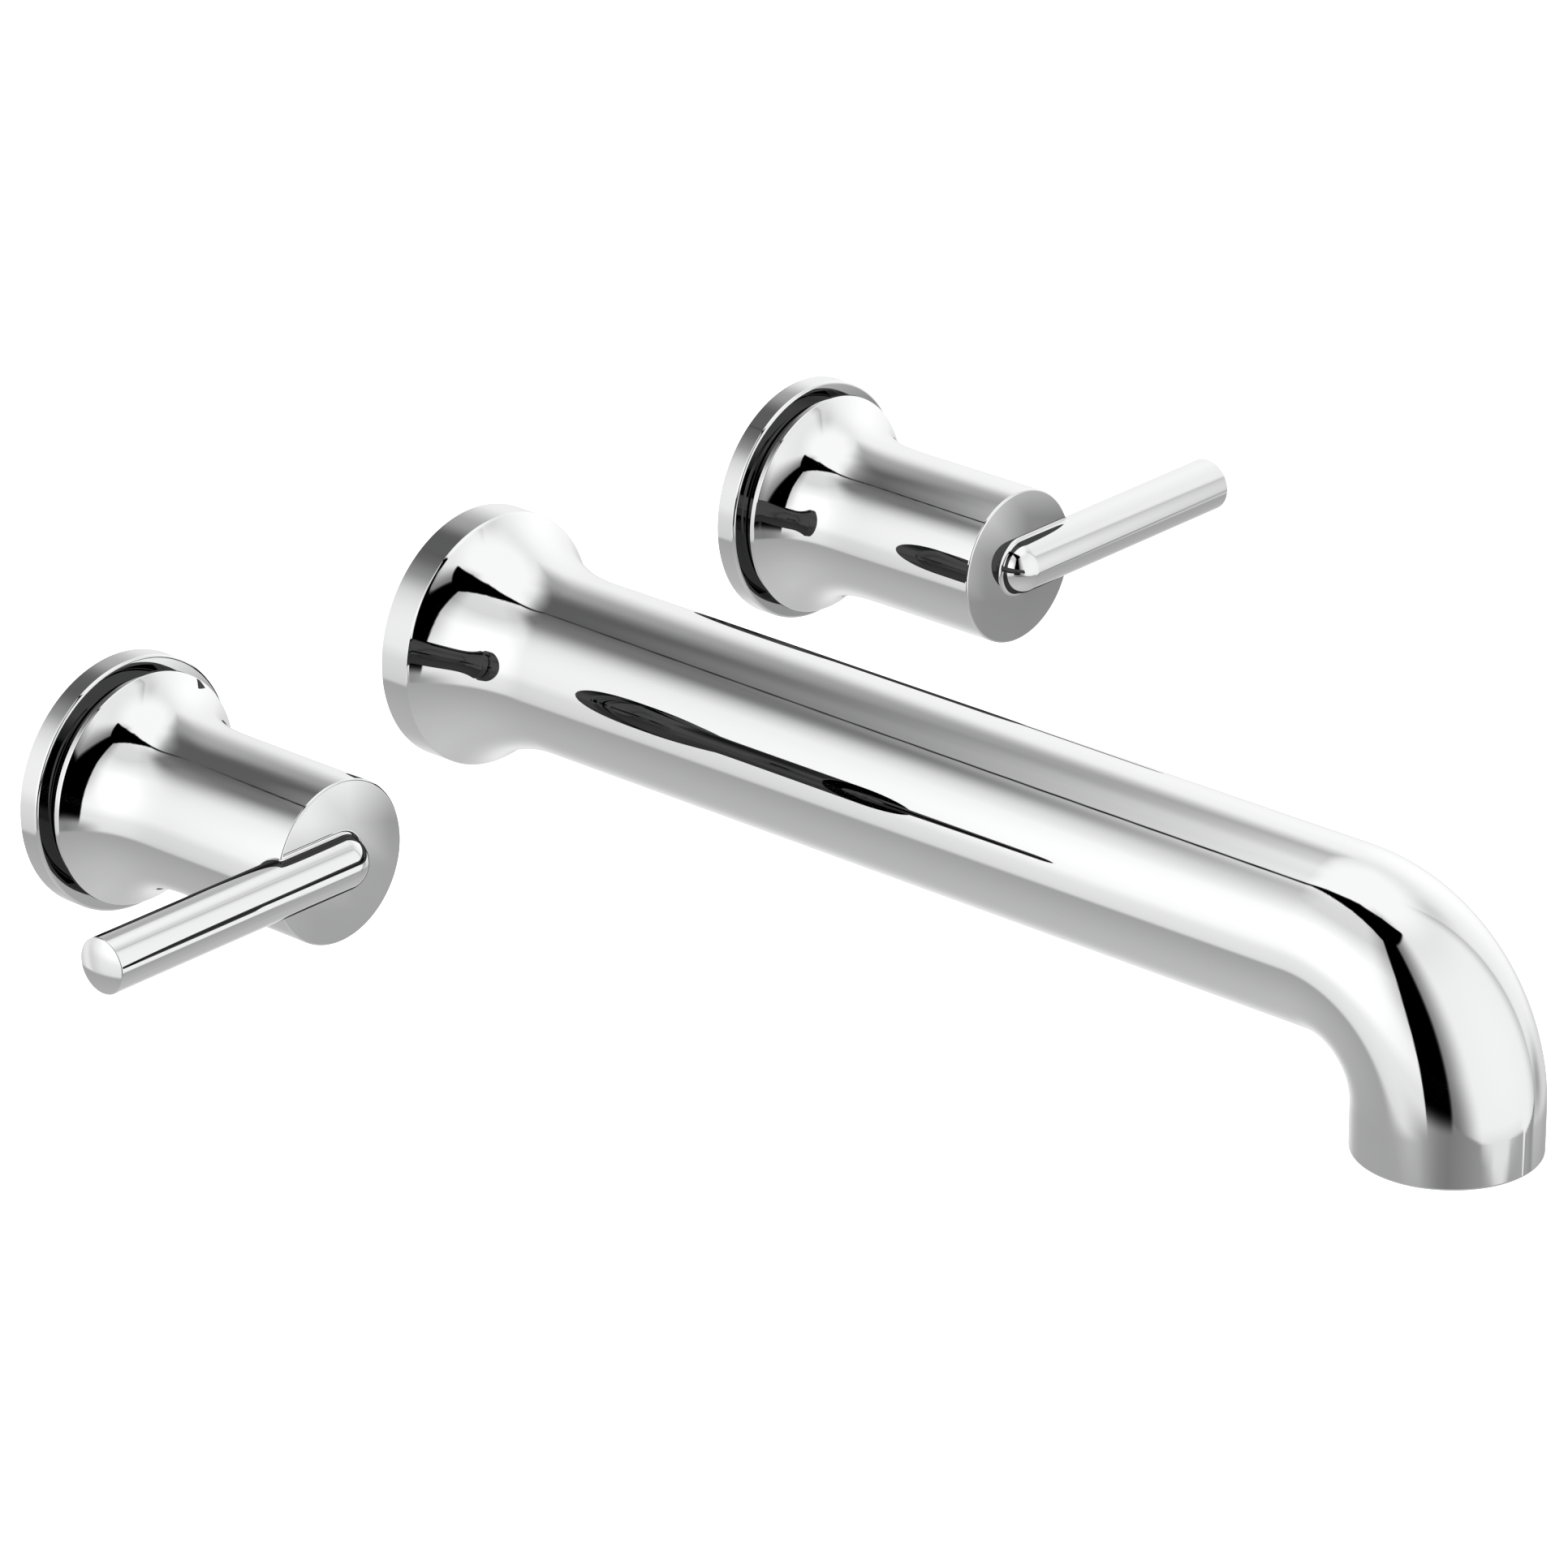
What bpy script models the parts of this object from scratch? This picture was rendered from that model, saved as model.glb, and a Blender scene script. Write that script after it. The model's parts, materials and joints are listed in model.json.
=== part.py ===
"""Wall mounted bath faucet: a lever handle on each side of a fixed, bent spout.

The wall is the plane Y = 0 and everything stands out from it towards -Y. The origin is
where the spout's axis meets the wall, +X is to the right seen from the front, +Z is up.
Lengths are in metres. Distances called "out" are measured from the wall.
"""
import math

import bmesh
import bpy
from mathutils import Vector

# Layout
HANDLE_SPACING = 0.2032          # between the two handles' axes, 8 inches
GAP = 0.0003                     # clearance between pieces that touch
MARGIN = 0.001                   # how far a cutter runs past what it cuts

# Escutcheon ring
RING_RADIUS = 0.0265
RING_OUT = 0.00485
RING_CHAMFER = 0.0006
RECESS_DEPTH = 0.0015            # pocket for the gasket, in the back of ring and flange
RING_LIP = 0.0019                # rim left around that pocket
SEAT_WIDTH = 0.0026              # rim left inside that pocket

# Handle hub
HUB_RADIUS = 0.01687
HUB_OUT = 0.0624                 # end face of the hub
HUB_CHAMFER = 0.0004
HUB_BORE = 0.0145
HUB_BORE_END = 0.0530
RIM_RADIUS = 0.0241
RIM_BACK = 0.0072
RIM_FRONT = 0.0083
# Bezier corners (radius, out) of the bell, from the hub's cylinder to its rim
HUB_BELL = ((HUB_RADIUS, 0.0319), (HUB_RADIUS, 0.0213), (0.0169, 0.0151), (0.0240, 0.0086))
# A skirt set back behind the rim, close in front of the escutcheon ring
SKIRT_RADIUS = 0.0224
SKIRT_BORE = 0.0206
SKIRT_BACK = RING_OUT + GAP
# The hollow inside the skirt and the bell, (radius, out)
HUB_HOLLOW = ((SKIRT_BORE, 0.0085), (0.0195, 0.0105), (0.0170, 0.0135), (HUB_BORE, 0.0175))

# Lever
LEVER_RADIUS = 0.00575
LEVER_LENGTH = 0.0633            # from the handle's axis to the lever's end edge
LEVER_DOME = 0.0012
LEVER_DOME_SHOULDER = (0.55, 0.70)   # shares of the dome's radius and height

# Valve neck and cartridge, inside the hub
NECK_RADIUS = 0.0126
NECK_BORE = 0.0106
NECK_OUT = 0.0260
CARTRIDGE_RADIUS = 0.0103
CARTRIDGE_BORE = 0.0083
SEAL_BORE = 0.0069
CARTRIDGE_BACK = 0.0010
CARTRIDGE_SHOULDER = 0.0200
CARTRIDGE_NECK_RADIUS = 0.0068
CARTRIDGE_OUT = 0.0330
CHAMBER_END = 0.0140             # front wall of the disc chamber
DISC_RADIUS = 0.0080
DISC_THICKNESS = 0.0030
FIXED_DISC_BACK = 0.0035
PORT_RADIUS = 0.0022
PORT_OFFSET = 0.0045
TONGUE_WIDTH = 0.0030
TONGUE_DEPTH = 0.0010
TONGUE_LENGTH = 0.0122
NUT_ROUND = 0.0185               # over the corners of the escutcheon nut
NUT_SIDES = 8
NUT_FRONT = 0.0090
BONNET_ROUND = 0.0134            # over the corners of the bonnet nut
BONNET_SIDES = 6
BONNET_FRONT = 0.0310
BUSH_BACK = 0.0205
BUSH_FRONT = 0.0255
O_RING_BACK = 0.0270             # groove for the stem's O-ring
O_RING_FRONT = 0.0286
O_RING_FLOOR = 0.0060

# Stem, adapter and screws
STEM_RADIUS = 0.0042
STEM_FLANGE_RADIUS = 0.0076
STEM_FLANGE_FRONT = 0.0137
SPLINE_START = 0.0345
SPLINE_END = 0.0467
SPLINE_ROOT = 0.0036
SPLINE_TEETH = 16
SPLINE_OVERLAP = 0.0005          # the splined end starts this far inside the stem
STEM_TIP_RADIUS = 0.0034
ADAPTER_RADIUS = 0.0142
ADAPTER_BACK = 0.0350
ADAPTER_WEB = 0.0470
ADAPTER_FRONT = 0.0500
SET_SCREW_OUT = 0.0420
SET_SCREW_RADIUS = 0.0020
SET_SCREW_TIP = 0.0103           # from the handle's axis
SET_SCREW_HEAD = 0.0163
STEM_SCREW_RADIUS = 0.0017
STEM_SCREW_TIP = 0.0400
STEM_SCREW_HEAD = 0.0035
STEM_SCREW_HEAD_TOP = 0.0527
LEVER_SCREW_OFFSET = 0.0095      # from the handle's axis, along the lever
LEVER_SCREW_RADIUS = 0.0016
LEVER_SCREW_HEAD = 0.0028
LEVER_SCREW_HEAD_HEIGHT = 0.0021
LEVER_SCREW_TIP = 0.0590
LEVER_HOLE_END = 0.0594
SET_SOCKET_SHARE = 0.6           # of the screw's radius, over the socket's corners
SET_SOCKET_DEPTH = 0.0016
HEAD_SOCKET_SHARE = 0.5
HEAD_SOCKET_DEPTH = 0.0012
SOCKET_SIDES = 6

# Spout
TUBE_RADIUS = 0.01866
SPOUT_REACH = 0.2558             # wall to the outlet's axis
BEND_RADIUS = 0.0266             # of the tube's centreline
OUTLET_DROP = 0.0359             # tube axis down to the outlet's face
OUTLET_CHAMFER = 0.0005
FLANGE_RADIUS = 0.0272
FLANGE_OUT = 0.0070
# Bezier corners (radius, out) of the bell, from the flange's edge to the tube
SPOUT_BELL = ((0.0269, 0.0077), (0.0265, 0.0083), (TUBE_RADIUS, 0.0166), (TUBE_RADIUS, 0.0312))
SPOUT_BORE = 0.0160
SPOUT_RECESS_BORE = 0.0197       # inside edge of the gasket's pocket

# Spout connection
NIPPLE_RADIUS = 0.01067          # half-inch pipe
NIPPLE_BORE = 0.0079
NIPPLE_OUT = 0.0257
CONNECTOR_RADIUS = 0.0157
CONNECTOR_BACK = 0.0020
CONNECTOR_STOP = 0.0260
CONNECTOR_OUT = 0.0340
GROOVE_WIDTH = 0.0024
GROOVE_FLOOR = 0.0136
GROOVE_BACKS = (0.0245, 0.0290)
SPOUT_SCREW_OUT = 0.0180
SPOUT_SCREW_RADIUS = 0.0025
SPOUT_SCREW_HEAD = 0.0203        # from the spout's axis
SPOUT_SCREW_TIP = 0.0133

# Outlet, measured down from the tube's axis
WASHER_TOP = 0.0250
WASHER_BOTTOM = 0.0266
HOUSING_RADIUS = 0.0157
HOUSING_TOP = 0.0269
HOUSING_LEDGE = 0.0279
HOUSING_BOTTOM = 0.0356
HOUSING_BORE = 0.0130
LEDGE_BORE = 0.0115
SCREEN_TOP = 0.0282
SCREEN_BOTTOM = 0.0287
STRAIGHTENER_TOP = 0.0290
STRAIGHTENER_BOTTOM = 0.0310
INSERT_RADIUS = 0.0127
SCREEN_HOLE = 0.0014             # over a hole's corners
CELL_HOLE = 0.0019
HOLE_SIDES = 6
# Rings of holes round the middle one: (how many, radius of their centres)
SCREEN_RINGS = ((6, 0.0045), (10, 0.0090))
CELL_RINGS = ((6, 0.0046), (12, 0.0093))

# How finely curves are divided
FINE_SIDES = 32
BORE_SIDES = 20
SMALL_SIDES = 12
BELL_STEPS = 11
BEND_STEPS = 12
BORE_BEND_STEPS = 10
BALL_STEPS = 6

# name: (colour, roughness, metallic)
FINISHES = {
    "chrome": ((0.86, 0.87, 0.88, 1), 0.06, 1.0),
    "brass": ((0.78, 0.60, 0.30, 1), 0.30, 1.0),
    "steel": ((0.60, 0.60, 0.61, 1), 0.30, 1.0),
    "rubber": ((0.03, 0.03, 0.03, 1), 0.70, 0.0),
    "foam": ((0.10, 0.10, 0.11, 1), 0.95, 0.0),
    "nylon": ((0.85, 0.84, 0.80, 1), 0.45, 0.0),
    "ceramic": ((0.90, 0.90, 0.88, 1), 0.20, 0.0),
}


def clear_scene():
    for obj in list(bpy.data.objects):
        bpy.data.objects.remove(obj, do_unlink=True)


def new_collection(name):
    collection = bpy.data.collections.new(name)
    bpy.context.scene.collection.children.link(collection)
    return collection


def finish_material(name, finish):
    """A Principled material for one piece, in one of the named finishes."""
    colour, roughness, metallic = FINISHES[finish]
    material = bpy.data.materials.new(name)
    material.use_nodes = True
    shader = material.node_tree.nodes["Principled BSDF"]
    shader.inputs["Base Color"].default_value = colour
    shader.inputs["Roughness"].default_value = roughness
    shader.inputs["Metallic"].default_value = metallic
    return material


def mesh_object(name, mesh, collection):
    obj = bpy.data.objects.new(name, mesh)
    collection.objects.link(obj)
    return obj


def as_piece(obj, finish):
    obj.data.materials.append(finish_material(obj.name, finish))
    return obj


def as_cutter(obj):
    obj.hide_render = True
    obj.display_type = "WIRE"
    return obj


# Ways a turned shape's axis can point
OUT = (math.pi / 2, 0, 0)        # away from the wall
DOWN = (math.pi, 0, 0)
LEFT = (0, -math.pi / 2, 0)
RIGHT = (0, math.pi / 2, 0)


def turned(name, outline, collection, place, turn=OUT, sides=BORE_SIDES):
    """A turned solid from (radius, height) points, listed down its outer side.

    An outline that starts off the axis is closed into a ring.
    """
    mesh = bpy.data.meshes.new(name)
    points = [(radius, 0, height) for radius, height in outline]
    edges = [(i, i + 1) for i in range(len(points) - 1)]
    if outline[0][0] > 0:
        edges.append((len(points) - 1, 0))
    mesh.from_pydata(points, edges, [])
    obj = mesh_object(name, mesh, collection)
    obj.location = place
    obj.rotation_euler = turn
    screw = obj.modifiers.new("turn", "SCREW")
    screw.steps = sides
    screw.render_steps = sides
    screw.use_merge_vertices = True
    screw.merge_threshold = 0.00001
    screw.use_smooth_shade = True
    return obj


def ring_outline(outer, inner, back, front):
    return [(outer, front), (outer, back), (inner, back), (inner, front)]


def rod_outline(radius, back, front):
    return [(0, front), (radius, front), (radius, back), (0, back)]


def prism(name, sides, radius, back, front, collection, place, turn=OUT):
    """A regular prism, such as a nut's body, whose radius is over its corners."""
    mesh = bpy.data.meshes.new(name)
    solid = bmesh.new()
    bmesh.ops.create_cone(solid, cap_ends=True, segments=sides, radius1=radius,
                          radius2=radius, depth=front - back)
    bmesh.ops.translate(solid, verts=solid.verts, vec=(0, 0, (front + back) / 2))
    solid.to_mesh(mesh)
    solid.free()
    obj = mesh_object(name, mesh, collection)
    obj.location = place
    obj.rotation_euler = turn
    return obj


def block(name, size, centre, collection):
    mesh = bpy.data.meshes.new(name)
    solid = bmesh.new()
    bmesh.ops.create_cube(solid, size=1)
    bmesh.ops.scale(solid, verts=solid.verts, vec=size)
    solid.to_mesh(mesh)
    solid.free()
    obj = mesh_object(name, mesh, collection)
    obj.location = centre
    return obj


def combine(obj, other, operation):
    """Join other to obj (UNION) or take it away (DIFFERENCE)."""
    boolean = obj.modifiers.new(other.name, "BOOLEAN")
    boolean.solver = "EXACT"
    boolean.operation = operation
    boolean.object = as_cutter(other)


def cut(obj, cutter):
    combine(obj, cutter, "DIFFERENCE")


def join(obj, other):
    combine(obj, other, "UNION")


def mesh_from_curve(curve_object, collection):
    """Swap a curve object for a welded mesh of the same shape and name."""
    name = curve_object.name
    evaluated = curve_object.evaluated_get(bpy.context.evaluated_depsgraph_get())
    mesh = bpy.data.meshes.new_from_object(evaluated)
    solid = bmesh.new()
    solid.from_mesh(mesh)
    bmesh.ops.remove_doubles(solid, verts=solid.verts, dist=0.000001)
    bmesh.ops.recalc_face_normals(solid, faces=solid.faces)
    solid.to_mesh(mesh)
    solid.free()
    matrix = curve_object.matrix_world.copy()
    bpy.data.objects.remove(curve_object, do_unlink=True)
    obj = mesh_object(name, mesh, collection)
    obj.matrix_world = matrix
    mesh.shade_smooth()
    mesh.set_sharp_from_angle(angle=math.radians(40))
    return obj


def swept_tube(name, stations, sides, collection):
    """A round tube through (position, radius) stations, with its ends closed."""
    curve = bpy.data.curves.new(name, "CURVE")
    curve.dimensions = "3D"
    curve.bevel_depth = 1.0
    curve.bevel_resolution = (sides - 4) // 2
    curve.use_fill_caps = True
    spline = curve.splines.new("POLY")
    spline.points.add(len(stations) - 1)
    for point, (position, radius) in zip(spline.points, stations):
        point.co = (*position, 1)
        point.radius = radius
    obj = mesh_object(name, curve, collection)
    bpy.context.view_layer.update()
    return mesh_from_curve(obj, collection)


def splined_prism(name, tip, root, back, front, collection, place):
    """The splined end of the stem, or the hole that it fits."""
    curve = bpy.data.curves.new(name, "CURVE")
    curve.dimensions = "2D"
    curve.fill_mode = "BOTH"
    curve.extrude = (front - back) / 2
    spline = curve.splines.new("POLY")
    count = 2 * SPLINE_TEETH
    spline.points.add(count - 1)
    spline.use_cyclic_u = True
    for i, point in enumerate(spline.points):
        angle = 2 * math.pi * i / count
        radius = tip if i % 2 == 0 else root
        point.co = (radius * math.cos(angle), radius * math.sin(angle), 0, 1)
    obj = mesh_object(name, curve, collection)
    obj.location = Vector(place) + Vector((0, -(front + back) / 2, 0))
    obj.rotation_euler = OUT
    bpy.context.view_layer.update()
    return mesh_from_curve(obj, collection)


def bezier(start, first, second, end, steps):
    """Points on one cubic Bezier span, without its first point."""
    points = []
    for i in range(1, steps + 1):
        t = i / steps
        s = 1 - t
        weights = (s ** 3, 3 * s * s * t, 3 * s * t * t, t ** 3)
        corners = (start, first, second, end)
        points.append(tuple(sum(w * c[axis] for w, c in zip(weights, corners))
                            for axis in (0, 1)))
    return points


def arc(centre, radius, start, end, steps):
    """(radius, height) points on an arc; angles in degrees from the outward radius."""
    points = []
    for i in range(steps + 1):
        angle = math.radians(start + (end - start) * i / steps)
        points.append((centre[0] + radius * math.cos(angle),
                       centre[1] + radius * math.sin(angle)))
    return points


# --- Handle unit -------------------------------------------------------------------


def escutcheon_ring(side, place, parts):
    lip = RING_RADIUS - RING_LIP
    bore = NECK_RADIUS + GAP
    seat = bore + SEAT_WIDTH
    outline = [
        (RING_RADIUS - RING_CHAMFER, RING_OUT),
        (RING_RADIUS, RING_OUT - RING_CHAMFER),
        (RING_RADIUS, 0),
        (lip, 0),
        (lip, RECESS_DEPTH),
        (seat, RECESS_DEPTH),
        (seat, 0),
        (bore, 0),
        (bore, RING_OUT),
    ]
    as_piece(turned(f"{side}_escutcheon_ring", outline, parts, place, sides=FINE_SIDES), "chrome")
    gasket = ring_outline(lip - GAP, seat + GAP, 0, RECESS_DEPTH - GAP)
    as_piece(turned(f"{side}_wall_gasket", gasket, parts, place), "foam")


def valve_neck(side, place, parts, cutters):
    neck = ring_outline(NECK_RADIUS, NECK_BORE, 0, NECK_OUT)
    as_piece(turned(f"{side}_valve_neck", neck, parts, place), "brass")
    nut = prism(f"{side}_escutcheon_nut", NUT_SIDES, NUT_ROUND, RING_OUT + GAP, NUT_FRONT,
                parts, place)
    bore = rod_outline(NECK_RADIUS + GAP, 0, NUT_FRONT + MARGIN)
    cut(nut, turned(f"{side}_escutcheon_nut_bore", bore, cutters, place))
    as_piece(nut, "brass")
    bush = ring_outline(HUB_BORE - GAP, NECK_RADIUS + GAP, BUSH_BACK, BUSH_FRONT)
    as_piece(turned(f"{side}_guide_bush", bush, parts, place, sides=FINE_SIDES), "nylon")


def cartridge(side, place, parts, cutters):
    """The fixed pieces of the quarter-turn cartridge."""
    stem_hole = STEM_RADIUS + GAP
    outline = [
        (CARTRIDGE_NECK_RADIUS, CARTRIDGE_OUT),
        (CARTRIDGE_NECK_RADIUS, CARTRIDGE_SHOULDER),
        (CARTRIDGE_RADIUS, CARTRIDGE_SHOULDER),
        (CARTRIDGE_RADIUS, CARTRIDGE_BACK),
        (CARTRIDGE_BORE, CARTRIDGE_BACK),
        (CARTRIDGE_BORE, CHAMBER_END),
        (stem_hole, CHAMBER_END),
        (stem_hole, O_RING_BACK),
        (O_RING_FLOOR, O_RING_BACK),
        (O_RING_FLOOR, O_RING_FRONT),
        (stem_hole, O_RING_FRONT),
        (stem_hole, CARTRIDGE_OUT),
    ]
    as_piece(turned(f"{side}_cartridge_body", outline, parts, place), "brass")
    seal = ring_outline(DISC_RADIUS, SEAL_BORE, CARTRIDGE_BACK, FIXED_DISC_BACK - GAP)
    as_piece(turned(f"{side}_cartridge_seal", seal, parts, place), "rubber")
    ring = ring_outline(O_RING_FLOOR - GAP, stem_hole, O_RING_BACK + GAP, O_RING_FRONT - GAP)
    as_piece(turned(f"{side}_stem_o_ring", ring, parts, place, sides=SMALL_SIDES), "rubber")
    disc = ported_disc(f"{side}_fixed_disc", FIXED_DISC_BACK, (1, 0, 0), place, parts, cutters)
    as_piece(disc, "ceramic")


def ported_disc(name, back, port_direction, place, parts, cutters):
    """A ceramic disc with two ports, either side of its axis."""
    disc = turned(name, rod_outline(DISC_RADIUS, back, back + DISC_THICKNESS), parts, place)
    port = rod_outline(PORT_RADIUS, back - MARGIN, back + DISC_THICKNESS + MARGIN)
    for i, sign in enumerate((-1, 1)):
        centre = Vector(place) + sign * PORT_OFFSET * Vector(port_direction)
        cut(disc, turned(f"{name}_port_{i}", port, cutters, centre, sides=SMALL_SIDES))
    return disc


def bonnet_nut(side, place, parts, cutters):
    """A hexagon head with a skirt that screws into the valve neck."""
    base = NECK_OUT + GAP
    nut = prism(f"{side}_bonnet_nut", BONNET_SIDES, BONNET_ROUND, base, BONNET_FRONT, parts, place)
    skirt = rod_outline(CARTRIDGE_RADIUS, CARTRIDGE_SHOULDER + GAP, base + MARGIN)
    join(nut, turned(f"{side}_bonnet_skirt", skirt, cutters, place))
    bore = rod_outline(CARTRIDGE_NECK_RADIUS + GAP, CARTRIDGE_SHOULDER - MARGIN,
                       BONNET_FRONT + MARGIN)
    cut(nut, turned(f"{side}_bonnet_bore", bore, cutters, place))
    as_piece(nut, "brass")


def turning_disc(side, place, parts, cutters):
    back = FIXED_DISC_BACK + DISC_THICKNESS + GAP
    disc = ported_disc(f"{side}_turning_disc", back, (0, 0, 1), place, parts, cutters)
    front = back + DISC_THICKNESS
    slot = (3 * DISC_RADIUS, 2 * (TONGUE_DEPTH + GAP), TONGUE_WIDTH + 2 * GAP)
    centre = Vector(place) + Vector((0, -front, 0))
    cut(disc, block(f"{side}_turning_disc_slot", slot, centre, cutters))
    as_piece(disc, "ceramic")
    return front


def valve_stem(side, place, disc_front, parts, cutters):
    """The stem: a flange with a tongue in the turning disc, a shaft and splines."""
    back = disc_front + GAP
    outline = [
        (0, SPLINE_START + SPLINE_OVERLAP),
        (STEM_TIP_RADIUS, SPLINE_START + SPLINE_OVERLAP),
        (STEM_TIP_RADIUS, SPLINE_START),
        (STEM_RADIUS, SPLINE_START),
        (STEM_RADIUS, STEM_FLANGE_FRONT),
        (STEM_FLANGE_RADIUS, STEM_FLANGE_FRONT),
        (STEM_FLANGE_RADIUS, back),
        (0, back),
    ]
    stem = turned(f"{side}_valve_stem", outline, parts, place)
    tongue = (TONGUE_LENGTH, TONGUE_DEPTH + MARGIN, TONGUE_WIDTH)
    middle = back + (MARGIN - TONGUE_DEPTH) / 2
    centre = Vector(place) + Vector((0, -middle, 0))
    join(stem, block(f"{side}_stem_tongue", tongue, centre, cutters))
    splines = splined_prism(f"{side}_stem_splines", STEM_RADIUS, SPLINE_ROOT,
                            SPLINE_START - SPLINE_OVERLAP, SPLINE_END, cutters, place)
    join(stem, splines)
    thread = rod_outline(STEM_SCREW_RADIUS + GAP, STEM_SCREW_TIP - MARGIN, SPLINE_END + MARGIN)
    cut(stem, turned(f"{side}_stem_thread", thread, cutters, place, sides=SMALL_SIDES))
    as_piece(stem, "brass")


def spline_adapter(side, place, parts, cutters):
    outline = rod_outline(ADAPTER_RADIUS, ADAPTER_BACK, ADAPTER_FRONT)
    adapter = turned(f"{side}_spline_adapter", outline, parts, place)
    splines = splined_prism(f"{side}_adapter_splines", STEM_RADIUS + GAP, SPLINE_ROOT + GAP,
                            ADAPTER_BACK - MARGIN, ADAPTER_WEB, cutters, place)
    cut(adapter, splines)
    hole = rod_outline(STEM_SCREW_RADIUS + GAP, ADAPTER_WEB - MARGIN, ADAPTER_FRONT + MARGIN)
    cut(adapter, turned(f"{side}_adapter_hole", hole, cutters, place, sides=SMALL_SIDES))
    dimple = rod_outline(SET_SCREW_RADIUS + GAP, SET_SCREW_TIP - GAP, ADAPTER_RADIUS + MARGIN)
    centre = Vector(place) + Vector((0, -SET_SCREW_OUT, 0))
    cut(adapter, turned(f"{side}_adapter_dimple", dimple, cutters, centre, DOWN, SMALL_SIDES))
    as_piece(adapter, "brass")


def socket_screw(name, radius, tip, head, place, turn, parts, cutters, finish):
    """A headless screw with a hexagon socket in its outer end."""
    screw = turned(name, rod_outline(radius, tip, head), parts, place, turn, SMALL_SIDES)
    socket = prism(f"{name}_socket", SOCKET_SIDES, SET_SOCKET_SHARE * radius,
                   head - SET_SOCKET_DEPTH, head + MARGIN, cutters, place, turn)
    cut(screw, socket)
    as_piece(screw, finish)


def headed_screw(name, radius, head_radius, tip, head_back, place, parts, cutters):
    """A round-headed screw whose axis is square to the wall."""
    outline = [
        (0, STEM_SCREW_HEAD_TOP),
        (head_radius, STEM_SCREW_HEAD_TOP),
        (head_radius, head_back),
        (radius, head_back),
        (radius, tip),
        (0, tip),
    ]
    screw = turned(name, outline, parts, place, sides=SMALL_SIDES)
    socket = prism(f"{name}_socket", SOCKET_SIDES, HEAD_SOCKET_SHARE * head_radius,
                   STEM_SCREW_HEAD_TOP - HEAD_SOCKET_DEPTH, STEM_SCREW_HEAD_TOP + MARGIN,
                   cutters, place)
    cut(screw, socket)
    as_piece(screw, "steel")


def lever_screw(side, sign, place, parts, cutters):
    """The screw through the hub's end wall into the lever; its head faces the wall."""
    centre = Vector(place) + Vector((sign * LEVER_SCREW_OFFSET, 0, 0))
    head_front = HUB_BORE_END - GAP
    head_back = head_front - LEVER_SCREW_HEAD_HEIGHT
    outline = [
        (0, LEVER_SCREW_TIP),
        (LEVER_SCREW_RADIUS, LEVER_SCREW_TIP),
        (LEVER_SCREW_RADIUS, head_front),
        (LEVER_SCREW_HEAD, head_front),
        (LEVER_SCREW_HEAD, head_back),
        (0, head_back),
    ]
    screw = turned(f"{side}_lever_screw", outline, parts, centre, sides=SMALL_SIDES)
    socket = prism(f"{side}_lever_screw_socket", SOCKET_SIDES,
                   HEAD_SOCKET_SHARE * LEVER_SCREW_HEAD, head_back - MARGIN,
                   head_back + HEAD_SOCKET_DEPTH, cutters, centre)
    cut(screw, socket)
    as_piece(screw, "steel")


def hub_outline():
    """Down the hub's outside from its end face, then up its inside."""
    outside = [
        (0, HUB_OUT),
        (HUB_RADIUS - HUB_CHAMFER, HUB_OUT),
        (HUB_RADIUS, HUB_OUT - HUB_CHAMFER),
        HUB_BELL[0],
    ]
    rim = [(RIM_RADIUS, RIM_FRONT), (RIM_RADIUS, RIM_BACK)]
    skirt = [(SKIRT_RADIUS, RIM_BACK), (SKIRT_RADIUS, SKIRT_BACK), (SKIRT_BORE, SKIRT_BACK)]
    inside = [(HUB_BORE, HUB_BORE_END), (0, HUB_BORE_END)]
    return outside + bezier(*HUB_BELL, BELL_STEPS) + rim + skirt + list(HUB_HOLLOW) + inside


def lever_outline(growth):
    """The lever's outline along its own axis; growth makes the groove it lies in."""
    radius = LEVER_RADIUS + growth
    across, along = LEVER_DOME_SHOULDER
    dome = [(0, LEVER_LENGTH + LEVER_DOME), (across * radius, LEVER_LENGTH + along * LEVER_DOME)]
    inner_end = arc((0, 0), radius, 0, -90, BALL_STEPS)
    return dome + [(radius, LEVER_LENGTH)] + inner_end[:-1] + [(0, -radius)]


def handle_hub(side, sign, place, parts, cutters):
    hub = turned(f"{side}_handle_hub", hub_outline(), parts, place, sides=FINE_SIDES)
    lever_place = Vector(place) + Vector((0, -HUB_OUT, 0))
    along = RIGHT if sign > 0 else LEFT
    groove = turned(f"{side}_lever_groove", lever_outline(GAP), cutters, lever_place, along)
    cut(hub, groove)
    hole = rod_outline(LEVER_SCREW_RADIUS + GAP, HUB_BORE_END - MARGIN, LEVER_HOLE_END)
    centre = Vector(place) + Vector((sign * LEVER_SCREW_OFFSET, 0, 0))
    hub_hole = turned(f"{side}_hub_lever_hole", hole, cutters, centre, sides=SMALL_SIDES)
    cut(hub, hub_hole)
    tapping = rod_outline(SET_SCREW_RADIUS + GAP, HUB_BORE - MARGIN, HUB_RADIUS + MARGIN)
    set_place = Vector(place) + Vector((0, -SET_SCREW_OUT, 0))
    cut(hub, turned(f"{side}_hub_tapping", tapping, cutters, set_place, DOWN, SMALL_SIDES))
    as_piece(hub, "chrome")
    lever = turned(f"{side}_lever_rod", lever_outline(0), parts, lever_place, along)
    cut(lever, hub_hole)
    as_piece(lever, "chrome")


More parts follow.
